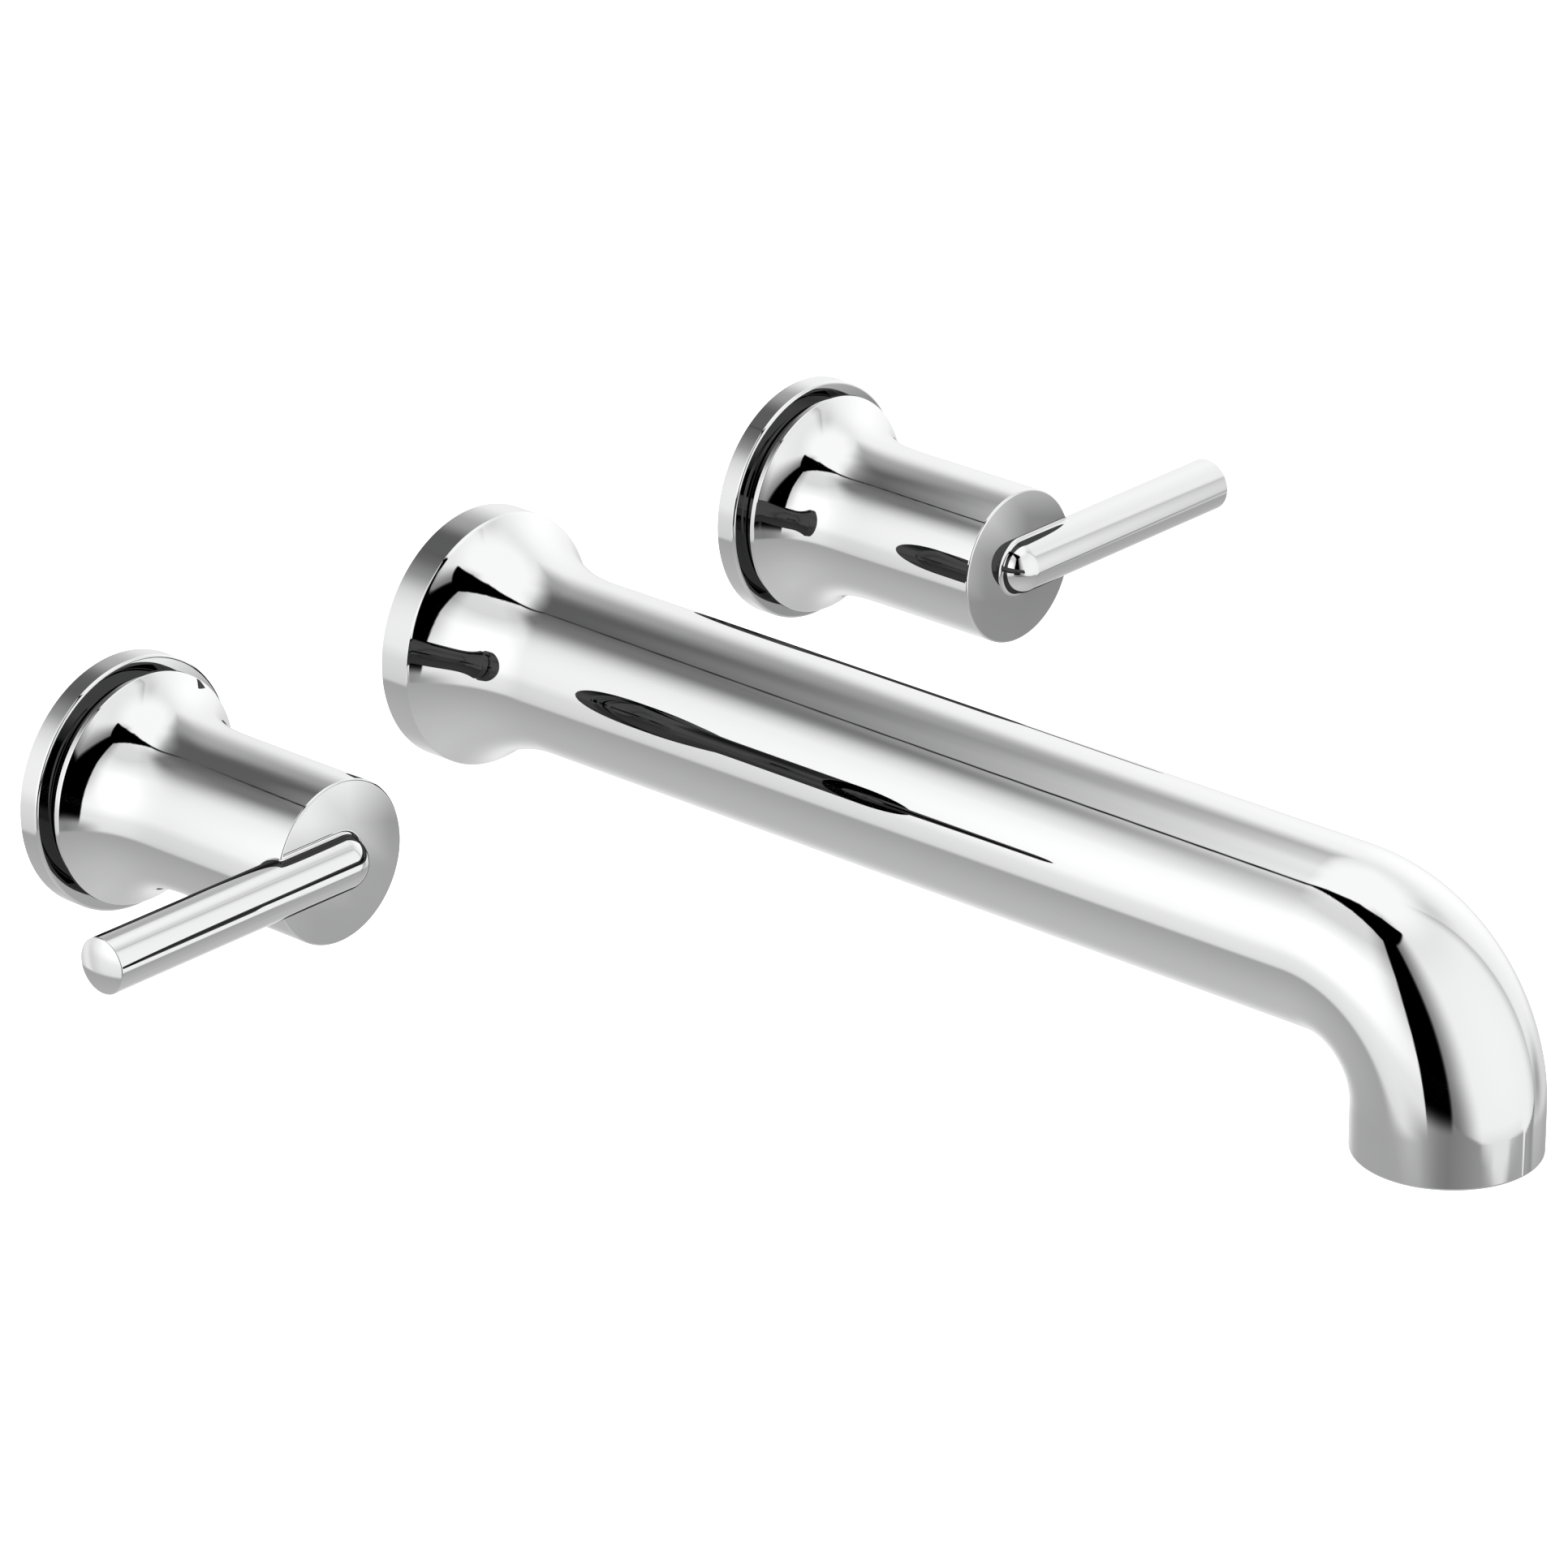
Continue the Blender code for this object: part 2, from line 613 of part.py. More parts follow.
def handle_unit(side, sign, parts, cutters):
    place = (sign * HANDLE_SPACING / 2, 0, 0)
    escutcheon_ring(side, place, parts)
    valve_neck(side, place, parts, cutters)
    cartridge(side, place, parts, cutters)
    bonnet_nut(side, place, parts, cutters)
    disc_front = turning_disc(side, place, parts, cutters)
    valve_stem(side, place, disc_front, parts, cutters)
    spline_adapter(side, place, parts, cutters)
    headed_screw(f"{side}_stem_screw", STEM_SCREW_RADIUS, STEM_SCREW_HEAD, STEM_SCREW_TIP,
                 ADAPTER_FRONT + GAP, place, parts, cutters)
    handle_hub(side, sign, place, parts, cutters)
    lever_screw(side, sign, place, parts, cutters)
    set_place = (place[0], -SET_SCREW_OUT, 0)
    socket_screw(f"{side}_hub_set_screw", SET_SCREW_RADIUS, SET_SCREW_TIP, SET_SCREW_HEAD,
                 set_place, DOWN, parts, cutters, "steel")


# --- Spout unit --------------------------------------------------------------------


def centreline(first, drop, steps):
    """The tube's axis from a distance out, round the bend, down to a drop below it."""
    points = [Vector((0, -first, 0))]
    bend_start = SPOUT_REACH - BEND_RADIUS
    for i in range(steps + 1):
        angle = math.pi / 2 * i / steps
        out = bend_start + BEND_RADIUS * math.sin(angle)
        points.append(Vector((0, -out, BEND_RADIUS * (math.cos(angle) - 1))))
    points.append(Vector((0, -SPOUT_REACH, -drop)))
    return points


def spout_stations():
    """The outside of the flange, bell, tube and bend, as (position, radius)."""
    outline = [(FLANGE_RADIUS, 0), (FLANGE_RADIUS, FLANGE_OUT), SPOUT_BELL[0]]
    outline += bezier(*SPOUT_BELL, BELL_STEPS)
    stations = [(Vector((0, -out, 0)), radius) for radius, out in outline]
    run = centreline(SPOUT_BELL[-1][1], OUTLET_DROP - OUTLET_CHAMFER, BEND_STEPS)[1:]
    stations += [(position, TUBE_RADIUS) for position in run]
    end = Vector((0, -SPOUT_REACH, -OUTLET_DROP))
    stations.append((end, TUBE_RADIUS - OUTLET_CHAMFER))
    return stations


def spout_body(parts, cutters):
    body = swept_tube("spout_body", spout_stations(), FINE_SIDES, parts)
    run = centreline(-MARGIN, OUTLET_DROP + MARGIN, BORE_BEND_STEPS)
    stations = [(position, SPOUT_BORE) for position in run]
    bore = swept_tube("spout_bore", stations, BORE_SIDES, cutters)
    cut(body, bore)
    lip = FLANGE_RADIUS - RING_LIP
    recess = ring_outline(lip, SPOUT_RECESS_BORE, -MARGIN, RECESS_DEPTH)
    cut(body, turned("spout_gasket_recess", recess, cutters, (0, 0, 0)))
    tapping = rod_outline(SPOUT_SCREW_RADIUS + GAP, CONNECTOR_RADIUS - MARGIN, FLANGE_RADIUS)
    place = (0, -SPOUT_SCREW_OUT, 0)
    cut(body, turned("spout_tapping", tapping, cutters, place, DOWN, SMALL_SIDES))
    as_piece(body, "chrome")
    gasket = ring_outline(lip - GAP, SPOUT_RECESS_BORE + GAP, 0, RECESS_DEPTH - GAP)
    as_piece(turned("spout_wall_gasket", gasket, parts, (0, 0, 0)), "foam")


def connector_outline():
    """The brass connector, grooved outside for two O-rings."""
    outline = [(CONNECTOR_RADIUS, CONNECTOR_OUT)]
    for back in reversed(GROOVE_BACKS):
        front = back + GROOVE_WIDTH
        outline += [(CONNECTOR_RADIUS, front), (GROOVE_FLOOR, front)]
        outline += [(GROOVE_FLOOR, back), (CONNECTOR_RADIUS, back)]
    outline += [
        (CONNECTOR_RADIUS, CONNECTOR_BACK),
        (NIPPLE_RADIUS + GAP, CONNECTOR_BACK),
        (NIPPLE_RADIUS + GAP, CONNECTOR_STOP),
        (NIPPLE_BORE, CONNECTOR_STOP),
        (NIPPLE_BORE, CONNECTOR_OUT),
    ]
    return outline


def spout_connection(parts, cutters):
    origin = (0, 0, 0)
    nipple = ring_outline(NIPPLE_RADIUS, NIPPLE_BORE, 0, NIPPLE_OUT)
    as_piece(turned("spout_nipple", nipple, parts, origin), "brass")
    connector = turned("spout_connector", connector_outline(), parts, origin)
    dimple = rod_outline(SPOUT_SCREW_RADIUS + GAP, SPOUT_SCREW_TIP - GAP,
                         CONNECTOR_RADIUS + MARGIN)
    place = (0, -SPOUT_SCREW_OUT, 0)
    cut(connector, turned("connector_dimple", dimple, cutters, place, DOWN, SMALL_SIDES))
    as_piece(connector, "brass")
    for name, back in zip(("rear", "front"), GROOVE_BACKS):
        ring = ring_outline(CONNECTOR_RADIUS, GROOVE_FLOOR + GAP, back + GAP,
                            back + GROOVE_WIDTH - GAP)
        as_piece(turned(f"spout_o_ring_{name}", ring, parts, origin), "rubber")
    socket_screw("spout_set_screw", SPOUT_SCREW_RADIUS, SPOUT_SCREW_TIP, SPOUT_SCREW_HEAD,
                 place, DOWN, parts, cutters, "steel")


def hole_centres(rings):
    """The middle of a disc, then centres spaced round it in rings."""
    centres = [(0, 0)]
    for count, radius in rings:
        for i in range(count):
            angle = 2 * math.pi * i / count
            centres.append((radius * math.cos(angle), radius * math.sin(angle)))
    return centres


def pierced_disc(name, top, bottom, rings, hole_radius, parts, cutters):
    """A disc in the outlet with a pattern of straight holes down through it."""
    place = Vector((0, -SPOUT_REACH, 0))
    disc = prism(name, BORE_SIDES, INSERT_RADIUS, top, bottom, parts, place, DOWN)
    for i, (across, along) in enumerate(hole_centres(rings)):
        centre = place + Vector((across, along, 0))
        hole = prism(f"{name}_hole_{i}", HOLE_SIDES, hole_radius, top - MARGIN, bottom + MARGIN,
                     cutters, centre, DOWN)
        cut(disc, hole)
    return disc


def outlet_fittings(parts, cutters):
    place = (0, -SPOUT_REACH, 0)
    washer = ring_outline(HOUSING_RADIUS, LEDGE_BORE, WASHER_TOP, WASHER_BOTTOM)
    as_piece(turned("aerator_washer", washer, parts, place, DOWN), "rubber")
    housing = [
        (HOUSING_RADIUS, HOUSING_BOTTOM),
        (HOUSING_RADIUS, HOUSING_TOP),
        (LEDGE_BORE, HOUSING_TOP),
        (LEDGE_BORE, HOUSING_LEDGE),
        (HOUSING_BORE, HOUSING_LEDGE),
        (HOUSING_BORE, HOUSING_BOTTOM),
    ]
    as_piece(turned("aerator_housing", housing, parts, place, DOWN), "chrome")
    screen = pierced_disc("aerator_screen", SCREEN_TOP, SCREEN_BOTTOM, SCREEN_RINGS,
                          SCREEN_HOLE, parts, cutters)
    as_piece(screen, "steel")
    straightener = pierced_disc("flow_straightener", STRAIGHTENER_TOP, STRAIGHTENER_BOTTOM,
                                CELL_RINGS, CELL_HOLE, parts, cutters)
    as_piece(straightener, "nylon")


def main():
    clear_scene()
    parts = new_collection("wall_mounted_bath_faucet")
    cutters = new_collection("cutters")
    for side, sign in (("left", -1), ("right", 1)):
        handle_unit(side, sign, parts, cutters)
    spout_body(parts, cutters)
    spout_connection(parts, cutters)
    outlet_fittings(parts, cutters)


main()
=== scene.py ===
"""The looks of the wall mounted bath faucet: fine turned shapes, chrome and studio light.

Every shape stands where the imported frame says. Lengths are in metres, the wall is the
plane Y = 0 and the faucet stands out from it towards -Y.
"""
import json
import math

import bmesh
import bpy
from mathutils import Matrix, Vector


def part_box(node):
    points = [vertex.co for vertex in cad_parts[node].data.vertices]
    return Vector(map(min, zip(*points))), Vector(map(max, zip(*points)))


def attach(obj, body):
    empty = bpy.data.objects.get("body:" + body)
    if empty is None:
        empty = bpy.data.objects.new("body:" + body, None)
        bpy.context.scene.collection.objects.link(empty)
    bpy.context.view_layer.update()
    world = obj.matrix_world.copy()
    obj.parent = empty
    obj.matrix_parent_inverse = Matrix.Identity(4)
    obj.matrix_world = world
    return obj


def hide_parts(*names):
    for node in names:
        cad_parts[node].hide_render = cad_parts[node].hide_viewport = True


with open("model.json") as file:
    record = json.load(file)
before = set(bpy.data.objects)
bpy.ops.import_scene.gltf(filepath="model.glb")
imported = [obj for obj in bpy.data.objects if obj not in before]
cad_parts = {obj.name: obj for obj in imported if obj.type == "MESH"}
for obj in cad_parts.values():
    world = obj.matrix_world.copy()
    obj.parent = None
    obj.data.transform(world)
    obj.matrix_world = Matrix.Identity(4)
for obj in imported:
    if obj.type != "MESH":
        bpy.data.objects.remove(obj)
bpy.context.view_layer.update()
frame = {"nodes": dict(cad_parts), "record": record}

SIDES = 144                      # facets round a turned shape
MEDIUM_SIDES = 96                # round levers and gaskets
SMALL_SIDES = 64                 # round threads, nuts and their bores
SCREW_SIDES = 48                 # round set screws and drilled holes
HEXAGON, OCTAGON = 6, 8
SUPPORT = 0.00004                # extra loop beside each rounded edge keeps flats flat
ON_AXIS = 1e-7                   # a smaller radius than this is a point on the axis
MERGE = 0.0000002                # points closer than this become one after a cut
CUT_EDGE = 35                    # degrees: edges of a cut solid sharper than this stay sharp
SIDE_SIGNS = {"left": -1, "right": 1}
ROOT = "wall_fittings"


# --- Sizes read from the frame -----------------------------------------------------


def radius_of(node):
    low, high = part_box(node)
    return (high.x - low.x) / 2


def reach_of(node):
    """(back, front): how far out from the wall a node starts and ends."""
    low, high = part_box(node)
    return -high.y, -low.y


def axis_x(side):
    low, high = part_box(f"{side}_escutcheon_ring")
    return (low.x + high.x) / 2


# --- Shapes ------------------------------------------------------------------------


def straight(centre, direction):
    """A straight axis: returns the point and direction at a distance along it."""
    start, along = Vector(centre), Vector(direction).normalized()
    return lambda distance: (start + distance * along, along)


def rounded(corners, steps=6):
    """Swap each (radius, height, fillet) corner of a closed outline for an arc."""
    points = []
    for i, (radius, height, fillet) in enumerate(corners):
        here = Vector((radius, height))
        if not fillet:
            points.append(here)
            continue
        before = (Vector(corners[i - 1][:2]) - here).normalized()
        after = (Vector(corners[(i + 1) % len(corners)][:2]) - here).normalized()
        half = before.angle(after) / 2
        reach = fillet / math.tan(half)
        start = here + before * reach
        end = here + after * reach
        centre = here + (before + after).normalized() * (fillet / math.sin(half))
        points.append(start + before * SUPPORT)
        first, last = (start - centre), (end - centre)
        turn = first.angle_signed(last)
        for step in range(steps + 1):
            angle = -turn * step / steps
            points.append(centre + Matrix.Rotation(angle, 2) @ first)
        points.append(end + after * SUPPORT)
    return points


def bezier(start, first, second, end, steps):
    """Points on one cubic span, with both its ends."""
    corners = [Vector(corner) for corner in (start, first, second, end)]
    points = []
    for i in range(steps + 1):
        t = i / steps
        s = 1 - t
        weights = (s ** 3, 3 * s * s * t, 3 * s * t * t, t ** 3)
        points.append(sum((w * c for w, c in zip(weights, corners)), Vector((0, 0))))
    return points


def swept(name, outline, path, sides=SIDES, sharp=None):
    """A solid from (radius, distance) points carried round a path.

    The outline is a closed loop. Points on the axis become single vertices.
    """
    solid = bmesh.new()
    rings = []
    for radius, distance in outline:
        centre, along = path(distance)
        across = Vector((1, 0, 0)) if abs(along.x) < 0.5 else Vector((0, 1, 0))
        up = along.cross(across).normalized()
        if radius < ON_AXIS:
            rings.append([solid.verts.new(centre)])
            continue
        ring = []
        for i in range(sides):
            angle = 2 * math.pi * i / sides
            offset = math.cos(angle) * across + math.sin(angle) * up
            ring.append(solid.verts.new(centre + radius * offset))
        rings.append(ring)
    pairs = list(zip(rings, rings[1:]))
    if len(rings[0]) > 1:
        pairs.append((rings[-1], rings[0]))
    for low, high in pairs:
        join_rings(solid, low, high, sides)
    return finished(name, solid, sharp)


def join_rings(solid, low, high, sides):
    for i in range(sides):
        j = (i + 1) % sides
        corners = [low[i % len(low)], low[j % len(low)],
                   high[j % len(high)], high[i % len(high)]]
        unique = list(dict.fromkeys(corners))
        if len(unique) > 2:
            solid.faces.new(unique)


def finished(name, solid, sharp=None):
    """A smooth-shaded object from a bmesh, with its faces pointing out."""
    bmesh.ops.recalc_face_normals(solid, faces=solid.faces)
    mesh = bpy.data.meshes.new(name)
    solid.to_mesh(mesh)
    solid.free()
    mesh.shade_smooth()
    if sharp:
        mesh.set_sharp_from_angle(angle=math.radians(sharp))
    obj = bpy.data.objects.new(name, mesh)
    bpy.context.scene.collection.objects.link(obj)
    return obj


def combine(obj, other, operation):
    """Carve obj with another solid, which is used up, and clear away slivers."""
    modifier = obj.modifiers.new(operation, "BOOLEAN")
    modifier.operation = operation
    modifier.solver = "EXACT"
    modifier.object = other
    depsgraph = bpy.context.evaluated_depsgraph_get()
    mesh = bpy.data.meshes.new_from_object(obj.evaluated_get(depsgraph))
    obj.modifiers.clear()
    obj.data = mesh
    bpy.data.objects.remove(other, do_unlink=True)
    solid = bmesh.new()
    solid.from_mesh(mesh)
    bmesh.ops.remove_doubles(solid, verts=solid.verts, dist=MERGE)
    bmesh.ops.dissolve_degenerate(solid, edges=solid.edges, dist=MERGE)
    solid.to_mesh(mesh)
    solid.free()
    mesh.shade_smooth()
    mesh.set_sharp_from_angle(angle=math.radians(CUT_EDGE))


DRILL_CHAMFER = 0.0003
DRILL_CLEARANCE = 0.004          # how far the drill's cone stands out from the hole


def drill(obj, place, direction, radius, inside, outside):
    """Bore a round hole out through a wall, with a small chamfer at its mouth."""
    path = straight(place, direction)
    end = outside + DRILL_CLEARANCE
    outline = [
        (0, end),
        (radius + DRILL_CHAMFER + DRILL_CLEARANCE, end),
        (radius + DRILL_CHAMFER, outside),
        (radius, outside - DRILL_CHAMFER),
        (radius, inside),
        (0, inside),
    ]
    combine(obj, swept("drill", outline, path, SCREW_SIDES), "DIFFERENCE")


def place_piece(obj, node, body, slot):
    """Dress a piece, hide the CAD node it stands for and let it ride on a body."""
    obj.data.materials.clear()
    obj.data.materials.append(FINISHES[slot])
    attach(obj, body)
    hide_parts(node)


# --- Materials ---------------------------------------------------------------------


class Nodes:
    """Short ways to add and join shader nodes in one material."""

    def __init__(self, name, colour, metallic, roughness):
        self.material = bpy.data.materials.new(name)
        self.material.use_nodes = True
        self.tree = self.material.node_tree
        self.shader = self.tree.nodes["Principled BSDF"]
        self.shader.inputs["Base Color"].default_value = (*colour, 1)
        self.shader.inputs["Metallic"].default_value = metallic
        self.shader.inputs["Roughness"].default_value = roughness
        coordinates = self.tree.nodes.new("ShaderNodeTexCoord")
        self.place = coordinates.outputs["Object"]

    def noise(self, scale, detail=3.0, roughness=0.5):
        node = self.tree.nodes.new("ShaderNodeTexNoise")
        node.inputs["Scale"].default_value = scale
        node.inputs["Detail"].default_value = detail
        node.inputs["Roughness"].default_value = roughness
        self.tree.links.new(self.place, node.inputs["Vector"])
        return node.outputs["Fac"]

    def cells(self, scale):
        node = self.tree.nodes.new("ShaderNodeTexVoronoi")
        node.inputs["Scale"].default_value = scale
        self.tree.links.new(self.place, node.inputs["Vector"])
        return node.outputs["Distance"]

    def tool_marks(self, scale):
        """Fine grooves square to the turned axis, as a lathe leaves them."""
        node = self.tree.nodes.new("ShaderNodeTexWave")
        node.bands_direction = "Y"
        node.inputs["Scale"].default_value = scale
        node.inputs["Distortion"].default_value = 0.4
        node.inputs["Detail"].default_value = 2.0
        self.tree.links.new(self.place, node.inputs["Vector"])
        return node.outputs["Fac"]

    def ramp(self, value, low, high, start=0.0, end=1.0):
        node = self.tree.nodes.new("ShaderNodeMapRange")
        node.inputs["From Min"].default_value = start
        node.inputs["From Max"].default_value = end
        node.inputs["To Min"].default_value = low
        node.inputs["To Max"].default_value = high
        self.tree.links.new(value, node.inputs["Value"])
        return node.outputs["Result"]

    def colours(self, value, first, second):
        node = self.tree.nodes.new("ShaderNodeMix")
        node.data_type = "RGBA"
        node.inputs["A"].default_value = (*first, 1)
        node.inputs["B"].default_value = (*second, 1)
        self.tree.links.new(value, node.inputs["Factor"])
        return node.outputs["Result"]

    def bump(self, height, distance, strength=1.0):
        node = self.tree.nodes.new("ShaderNodeBump")
        node.inputs["Distance"].default_value = distance
        node.inputs["Strength"].default_value = strength
        self.tree.links.new(height, node.inputs["Height"])
        self.tree.links.new(node.outputs["Normal"], self.shader.inputs["Normal"])

    def link(self, output, socket):
        self.tree.links.new(output, self.shader.inputs[socket])


def chrome_material():
    """Mirror chrome plate: hardly any roughness, uneven by a trace."""
    nodes = Nodes("polished_chrome", (0.93, 0.935, 0.94), 1.0, 0.02)
    film = nodes.noise(35.0, 4.0, 0.55)
    nodes.link(nodes.ramp(film, 0.010, 0.028, 0.35, 0.65), "Roughness")
    tint = nodes.colours(nodes.noise(9.0), (0.920, 0.923, 0.928), (0.945, 0.946, 0.948))
    nodes.link(tint, "Base Color")
    return nodes.material


def brass_material():
    nodes = Nodes("machined_brass", (0.78, 0.60, 0.30), 1.0, 0.28)
    stain = nodes.ramp(nodes.noise(120.0, 5.0), 0.0, 1.0, 0.35, 0.7)
    nodes.link(nodes.colours(stain, (0.80, 0.62, 0.32), (0.62, 0.45, 0.21)), "Base Color")
    nodes.link(nodes.ramp(nodes.noise(300.0), 0.20, 0.38), "Roughness")
    nodes.bump(nodes.tool_marks(900.0), 0.00002, 0.5)
    return nodes.material


def steel_material():
    nodes = Nodes("machined_steel", (0.60, 0.60, 0.61), 1.0, 0.28)
    nodes.link(nodes.colours(nodes.noise(400.0), (0.64, 0.64, 0.65), (0.52, 0.52, 0.54)),
               "Base Color")
    nodes.link(nodes.ramp(nodes.noise(700.0, 4.0), 0.20, 0.40), "Roughness")
    nodes.bump(nodes.noise(1500.0, 3.0), 0.00002, 0.4)
    return nodes.material


def rubber_material():
    nodes = Nodes("moulded_rubber", (0.03, 0.03, 0.03), 0.0, 0.65)
    nodes.link(nodes.colours(nodes.noise(200.0, 4.0), (0.022, 0.022, 0.023), (0.045, 0.045, 0.044)),
               "Base Color")
    nodes.link(nodes.ramp(nodes.noise(500.0), 0.55, 0.78), "Roughness")
    nodes.bump(nodes.noise(2500.0, 4.0, 0.6), 0.00004, 0.5)
    return nodes.material


def foam_material():
    """Closed-cell foam rubber: small round cells in a dark grey sheet."""
    nodes = Nodes("foam_rubber", (0.10, 0.10, 0.11), 0.0, 0.95)
    cells = nodes.cells(1800.0)
    shade = nodes.ramp(cells, 0.0, 1.0, 0.1, 0.6)
    nodes.link(nodes.colours(shade, (0.05, 0.05, 0.055), (0.14, 0.14, 0.15)), "Base Color")
    nodes.bump(cells, 0.00025, 0.8)
    return nodes.material


def nylon_material():
    nodes = Nodes("moulded_nylon", (0.85, 0.84, 0.80), 0.0, 0.42)
    nodes.link(nodes.colours(nodes.noise(90.0, 3.0), (0.87, 0.86, 0.83), (0.80, 0.79, 0.74)),
               "Base Color")
    nodes.link(nodes.ramp(nodes.noise(600.0), 0.34, 0.52), "Roughness")
    nodes.shader.inputs["Subsurface Weight"].default_value = 0.15
    nodes.shader.inputs["Subsurface Scale"].default_value = 0.001
    nodes.bump(nodes.noise(1800.0, 3.0), 0.00003, 0.4)
    return nodes.material


def ceramic_material():
    nodes = Nodes("lapped_ceramic", (0.90, 0.90, 0.88), 0.0, 0.16)
    nodes.link(nodes.colours(nodes.noise(260.0, 4.0), (0.92, 0.92, 0.90), (0.84, 0.84, 0.82)),
               "Base Color")
    nodes.link(nodes.ramp(nodes.noise(800.0), 0.12, 0.24), "Roughness")
    nodes.bump(nodes.noise(3000.0, 2.0), 0.00001, 0.3)
    return nodes.material


FINISHES = {
    "polished_chrome": chrome_material(),
    "brass": brass_material(),
    "steel": steel_material(),
    "rubber": rubber_material(),
    "foam_rubber": foam_material(),
    "nylon": nylon_material(),
    "ceramic": ceramic_material(),
}


def dress_nodes():
    """Give every CAD node the finish of its own material slot."""
    for subpart in frame["record"]["subparts"]:
        obj = frame["nodes"][subpart["node"]]
        obj.data.materials.clear()
        obj.data.materials.append(FINISHES[subpart["material_slot"]])


# --- Wall gaskets ------------------------------------------------------------------

GAP = 0.0003
RECESS = 0.0015                  # pocket for the gasket, in the back of ring and flange
PAD_EDGE = 0.0003                # rounding of the gasket's edges


def wall_gasket(name, node, outside, inside, path):
    """The foam rubber pad in the pocket at the back of a ring or flange."""
    outer, inner, front = outside - GAP, inside + GAP, RECESS - GAP
    outline = rounded([
        (outer, front, PAD_EDGE),
        (outer, 0, PAD_EDGE),
        (inner, 0, PAD_EDGE),
        (inner, front, PAD_EDGE),
    ], 3)
    pad = swept(name, outline, path, MEDIUM_SIDES)
    place_piece(pad, node, ROOT, "foam_rubber")


# --- Handle pieces -----------------------------------------------------------------

RING_SEAT = 0.0026               # width of the escutcheon's inner seat on the wall
NECK_BORE = 0.0106
NECK_END = 0.0004                # chamfer at the neck's ends
THREAD_PITCH = 0.0012
THREAD_DEPTH = 0.00045
THREAD_MARGIN = 0.0006           # plain length at each end of the thread
NUT_CHAMFER = (0.0012, 0.0007)   # in from the nut's corners, back from its face
HUB_RADIUS = 0.01687
HUB_BORE = 0.0145
HUB_BORE_END = 0.0530
RIM_RADIUS = 0.0241
RIM_BACK = 0.0072
RIM_FRONT = 0.00845
SKIRT_RADIUS = 0.0224            # set back behind the rim, close in front of the escutcheon
SKIRT_BORE = 0.0206
SKIRT_BACK = 0.00515
HUB_HOLLOW = ((SKIRT_BORE, 0.0085), (0.0195, 0.0105), (0.0170, 0.0135), (HUB_BORE, 0.0175))
HUB_BELL = ((HUB_RADIUS, 0.0319), (HUB_RADIUS, 0.0213), (0.0169, 0.0151), (0.0240, 0.0086))
HUB_BELL_END = 0.0024            # 45 degrees in from the bell's foot, where the rim starts
HUB_EDGE = 0.0004                # rounding of the hub's end face
SET_SCREW_OUT = 0.0420
SET_SCREW_HOLE = 0.0023
DRILL_START = 0.001              # a drill starts this far inside a bore's surface
LEVER_RADIUS = 0.00575
LEVER_LENGTH = 0.0633
LEVER_DOME = 0.0012
LEVER_EDGE = 0.00012             # bevel round the lever's domed end
FILLET = 0.0009                  # between the lever and the hub
FILLET_STEPS = 8                 # faces across the fillet
FILLET_DEPTH = 0.3               # share by which its hidden edge lies beyond the corner
SOCKET_WIDTH = 0.6               # share of the set screw's radius
SOCKET_DEPTH = (0.0016, 0.0020)  # at the socket's side and at its point
CUP_WIDTH = 0.35                 # share of the set screw's radius
CUP_DEPTH = 0.0005


def escutcheon_ring(side, path):
    node = f"{side}_escutcheon_ring"
    radius = radius_of(node)
    back, front = reach_of(node)
    bore = radius_of(f"{side}_valve_neck") + GAP
    gasket = radius_of(f"{side}_wall_gasket") + GAP
    seat = bore + RING_SEAT
    outline = rounded([
        (radius, front, 0.0006),
        (radius, back, 0.0002),
        (gasket, back, 0.0001),
        (gasket, RECESS, 0),
        (seat, RECESS, 0),
        (seat, back, 0.0001),
        (bore, back, 0.0001),
        (bore, front, 0.0002),
    ])
    obj = swept(f"{side}_escutcheon", outline, path, sharp=40)
    place_piece(obj, node, ROOT, "polished_chrome")
    wall_gasket(f"{side}_gasket", f"{side}_wall_gasket", gasket, seat, path)


def valve_neck(side, path):
    """The threaded neck that carries the trim."""
    node = f"{side}_valve_neck"
    radius = radius_of(node)
    front = reach_of(node)[1]
    outline = [Vector((NECK_BORE, front)), Vector((NECK_BORE, 0)), Vector((radius - NECK_END, 0))]
    flank = THREAD_PITCH / 4
    crest = THREAD_MARGIN
    while crest < front - THREAD_MARGIN:
        outline += [Vector((radius - THREAD_DEPTH, crest - flank)), Vector((radius, crest + flank))]
        crest += THREAD_PITCH
    outline.append(Vector((radius - NECK_END, front)))
    obj = swept(f"{side}_threaded_neck", outline, path, SMALL_SIDES, 60)
    place_piece(obj, node, ROOT, "brass")


def neck_nut(side, path):
    """The octagonal nut on the neck, with its corners chamfered."""
    node = f"{side}_escutcheon_nut"
    back, front = reach_of(node)
    corner = radius_of(node) / math.cos(math.pi / OCTAGON)
    prism = [(0, front), (corner, front), (corner, back), (0, back)]
    body = swept(f"{side}_neck_nut", prism, path, OCTAGON)
    chamfered = [
        (0, front),
        (corner - NUT_CHAMFER[0], front),
        (corner, front - NUT_CHAMFER[1]),
        (corner, back),
        (0, back),
    ]
    combine(body, swept("chamfer", chamfered, path, SMALL_SIDES), "INTERSECT")
    bore = radius_of(f"{side}_valve_neck") + GAP
    hole = [(0, front + GAP), (bore, front + GAP), (bore, back - GAP), (0, back - GAP)]
    combine(body, swept("bore", hole, path, SMALL_SIDES), "DIFFERENCE")
    place_piece(body, node, ROOT, "brass")


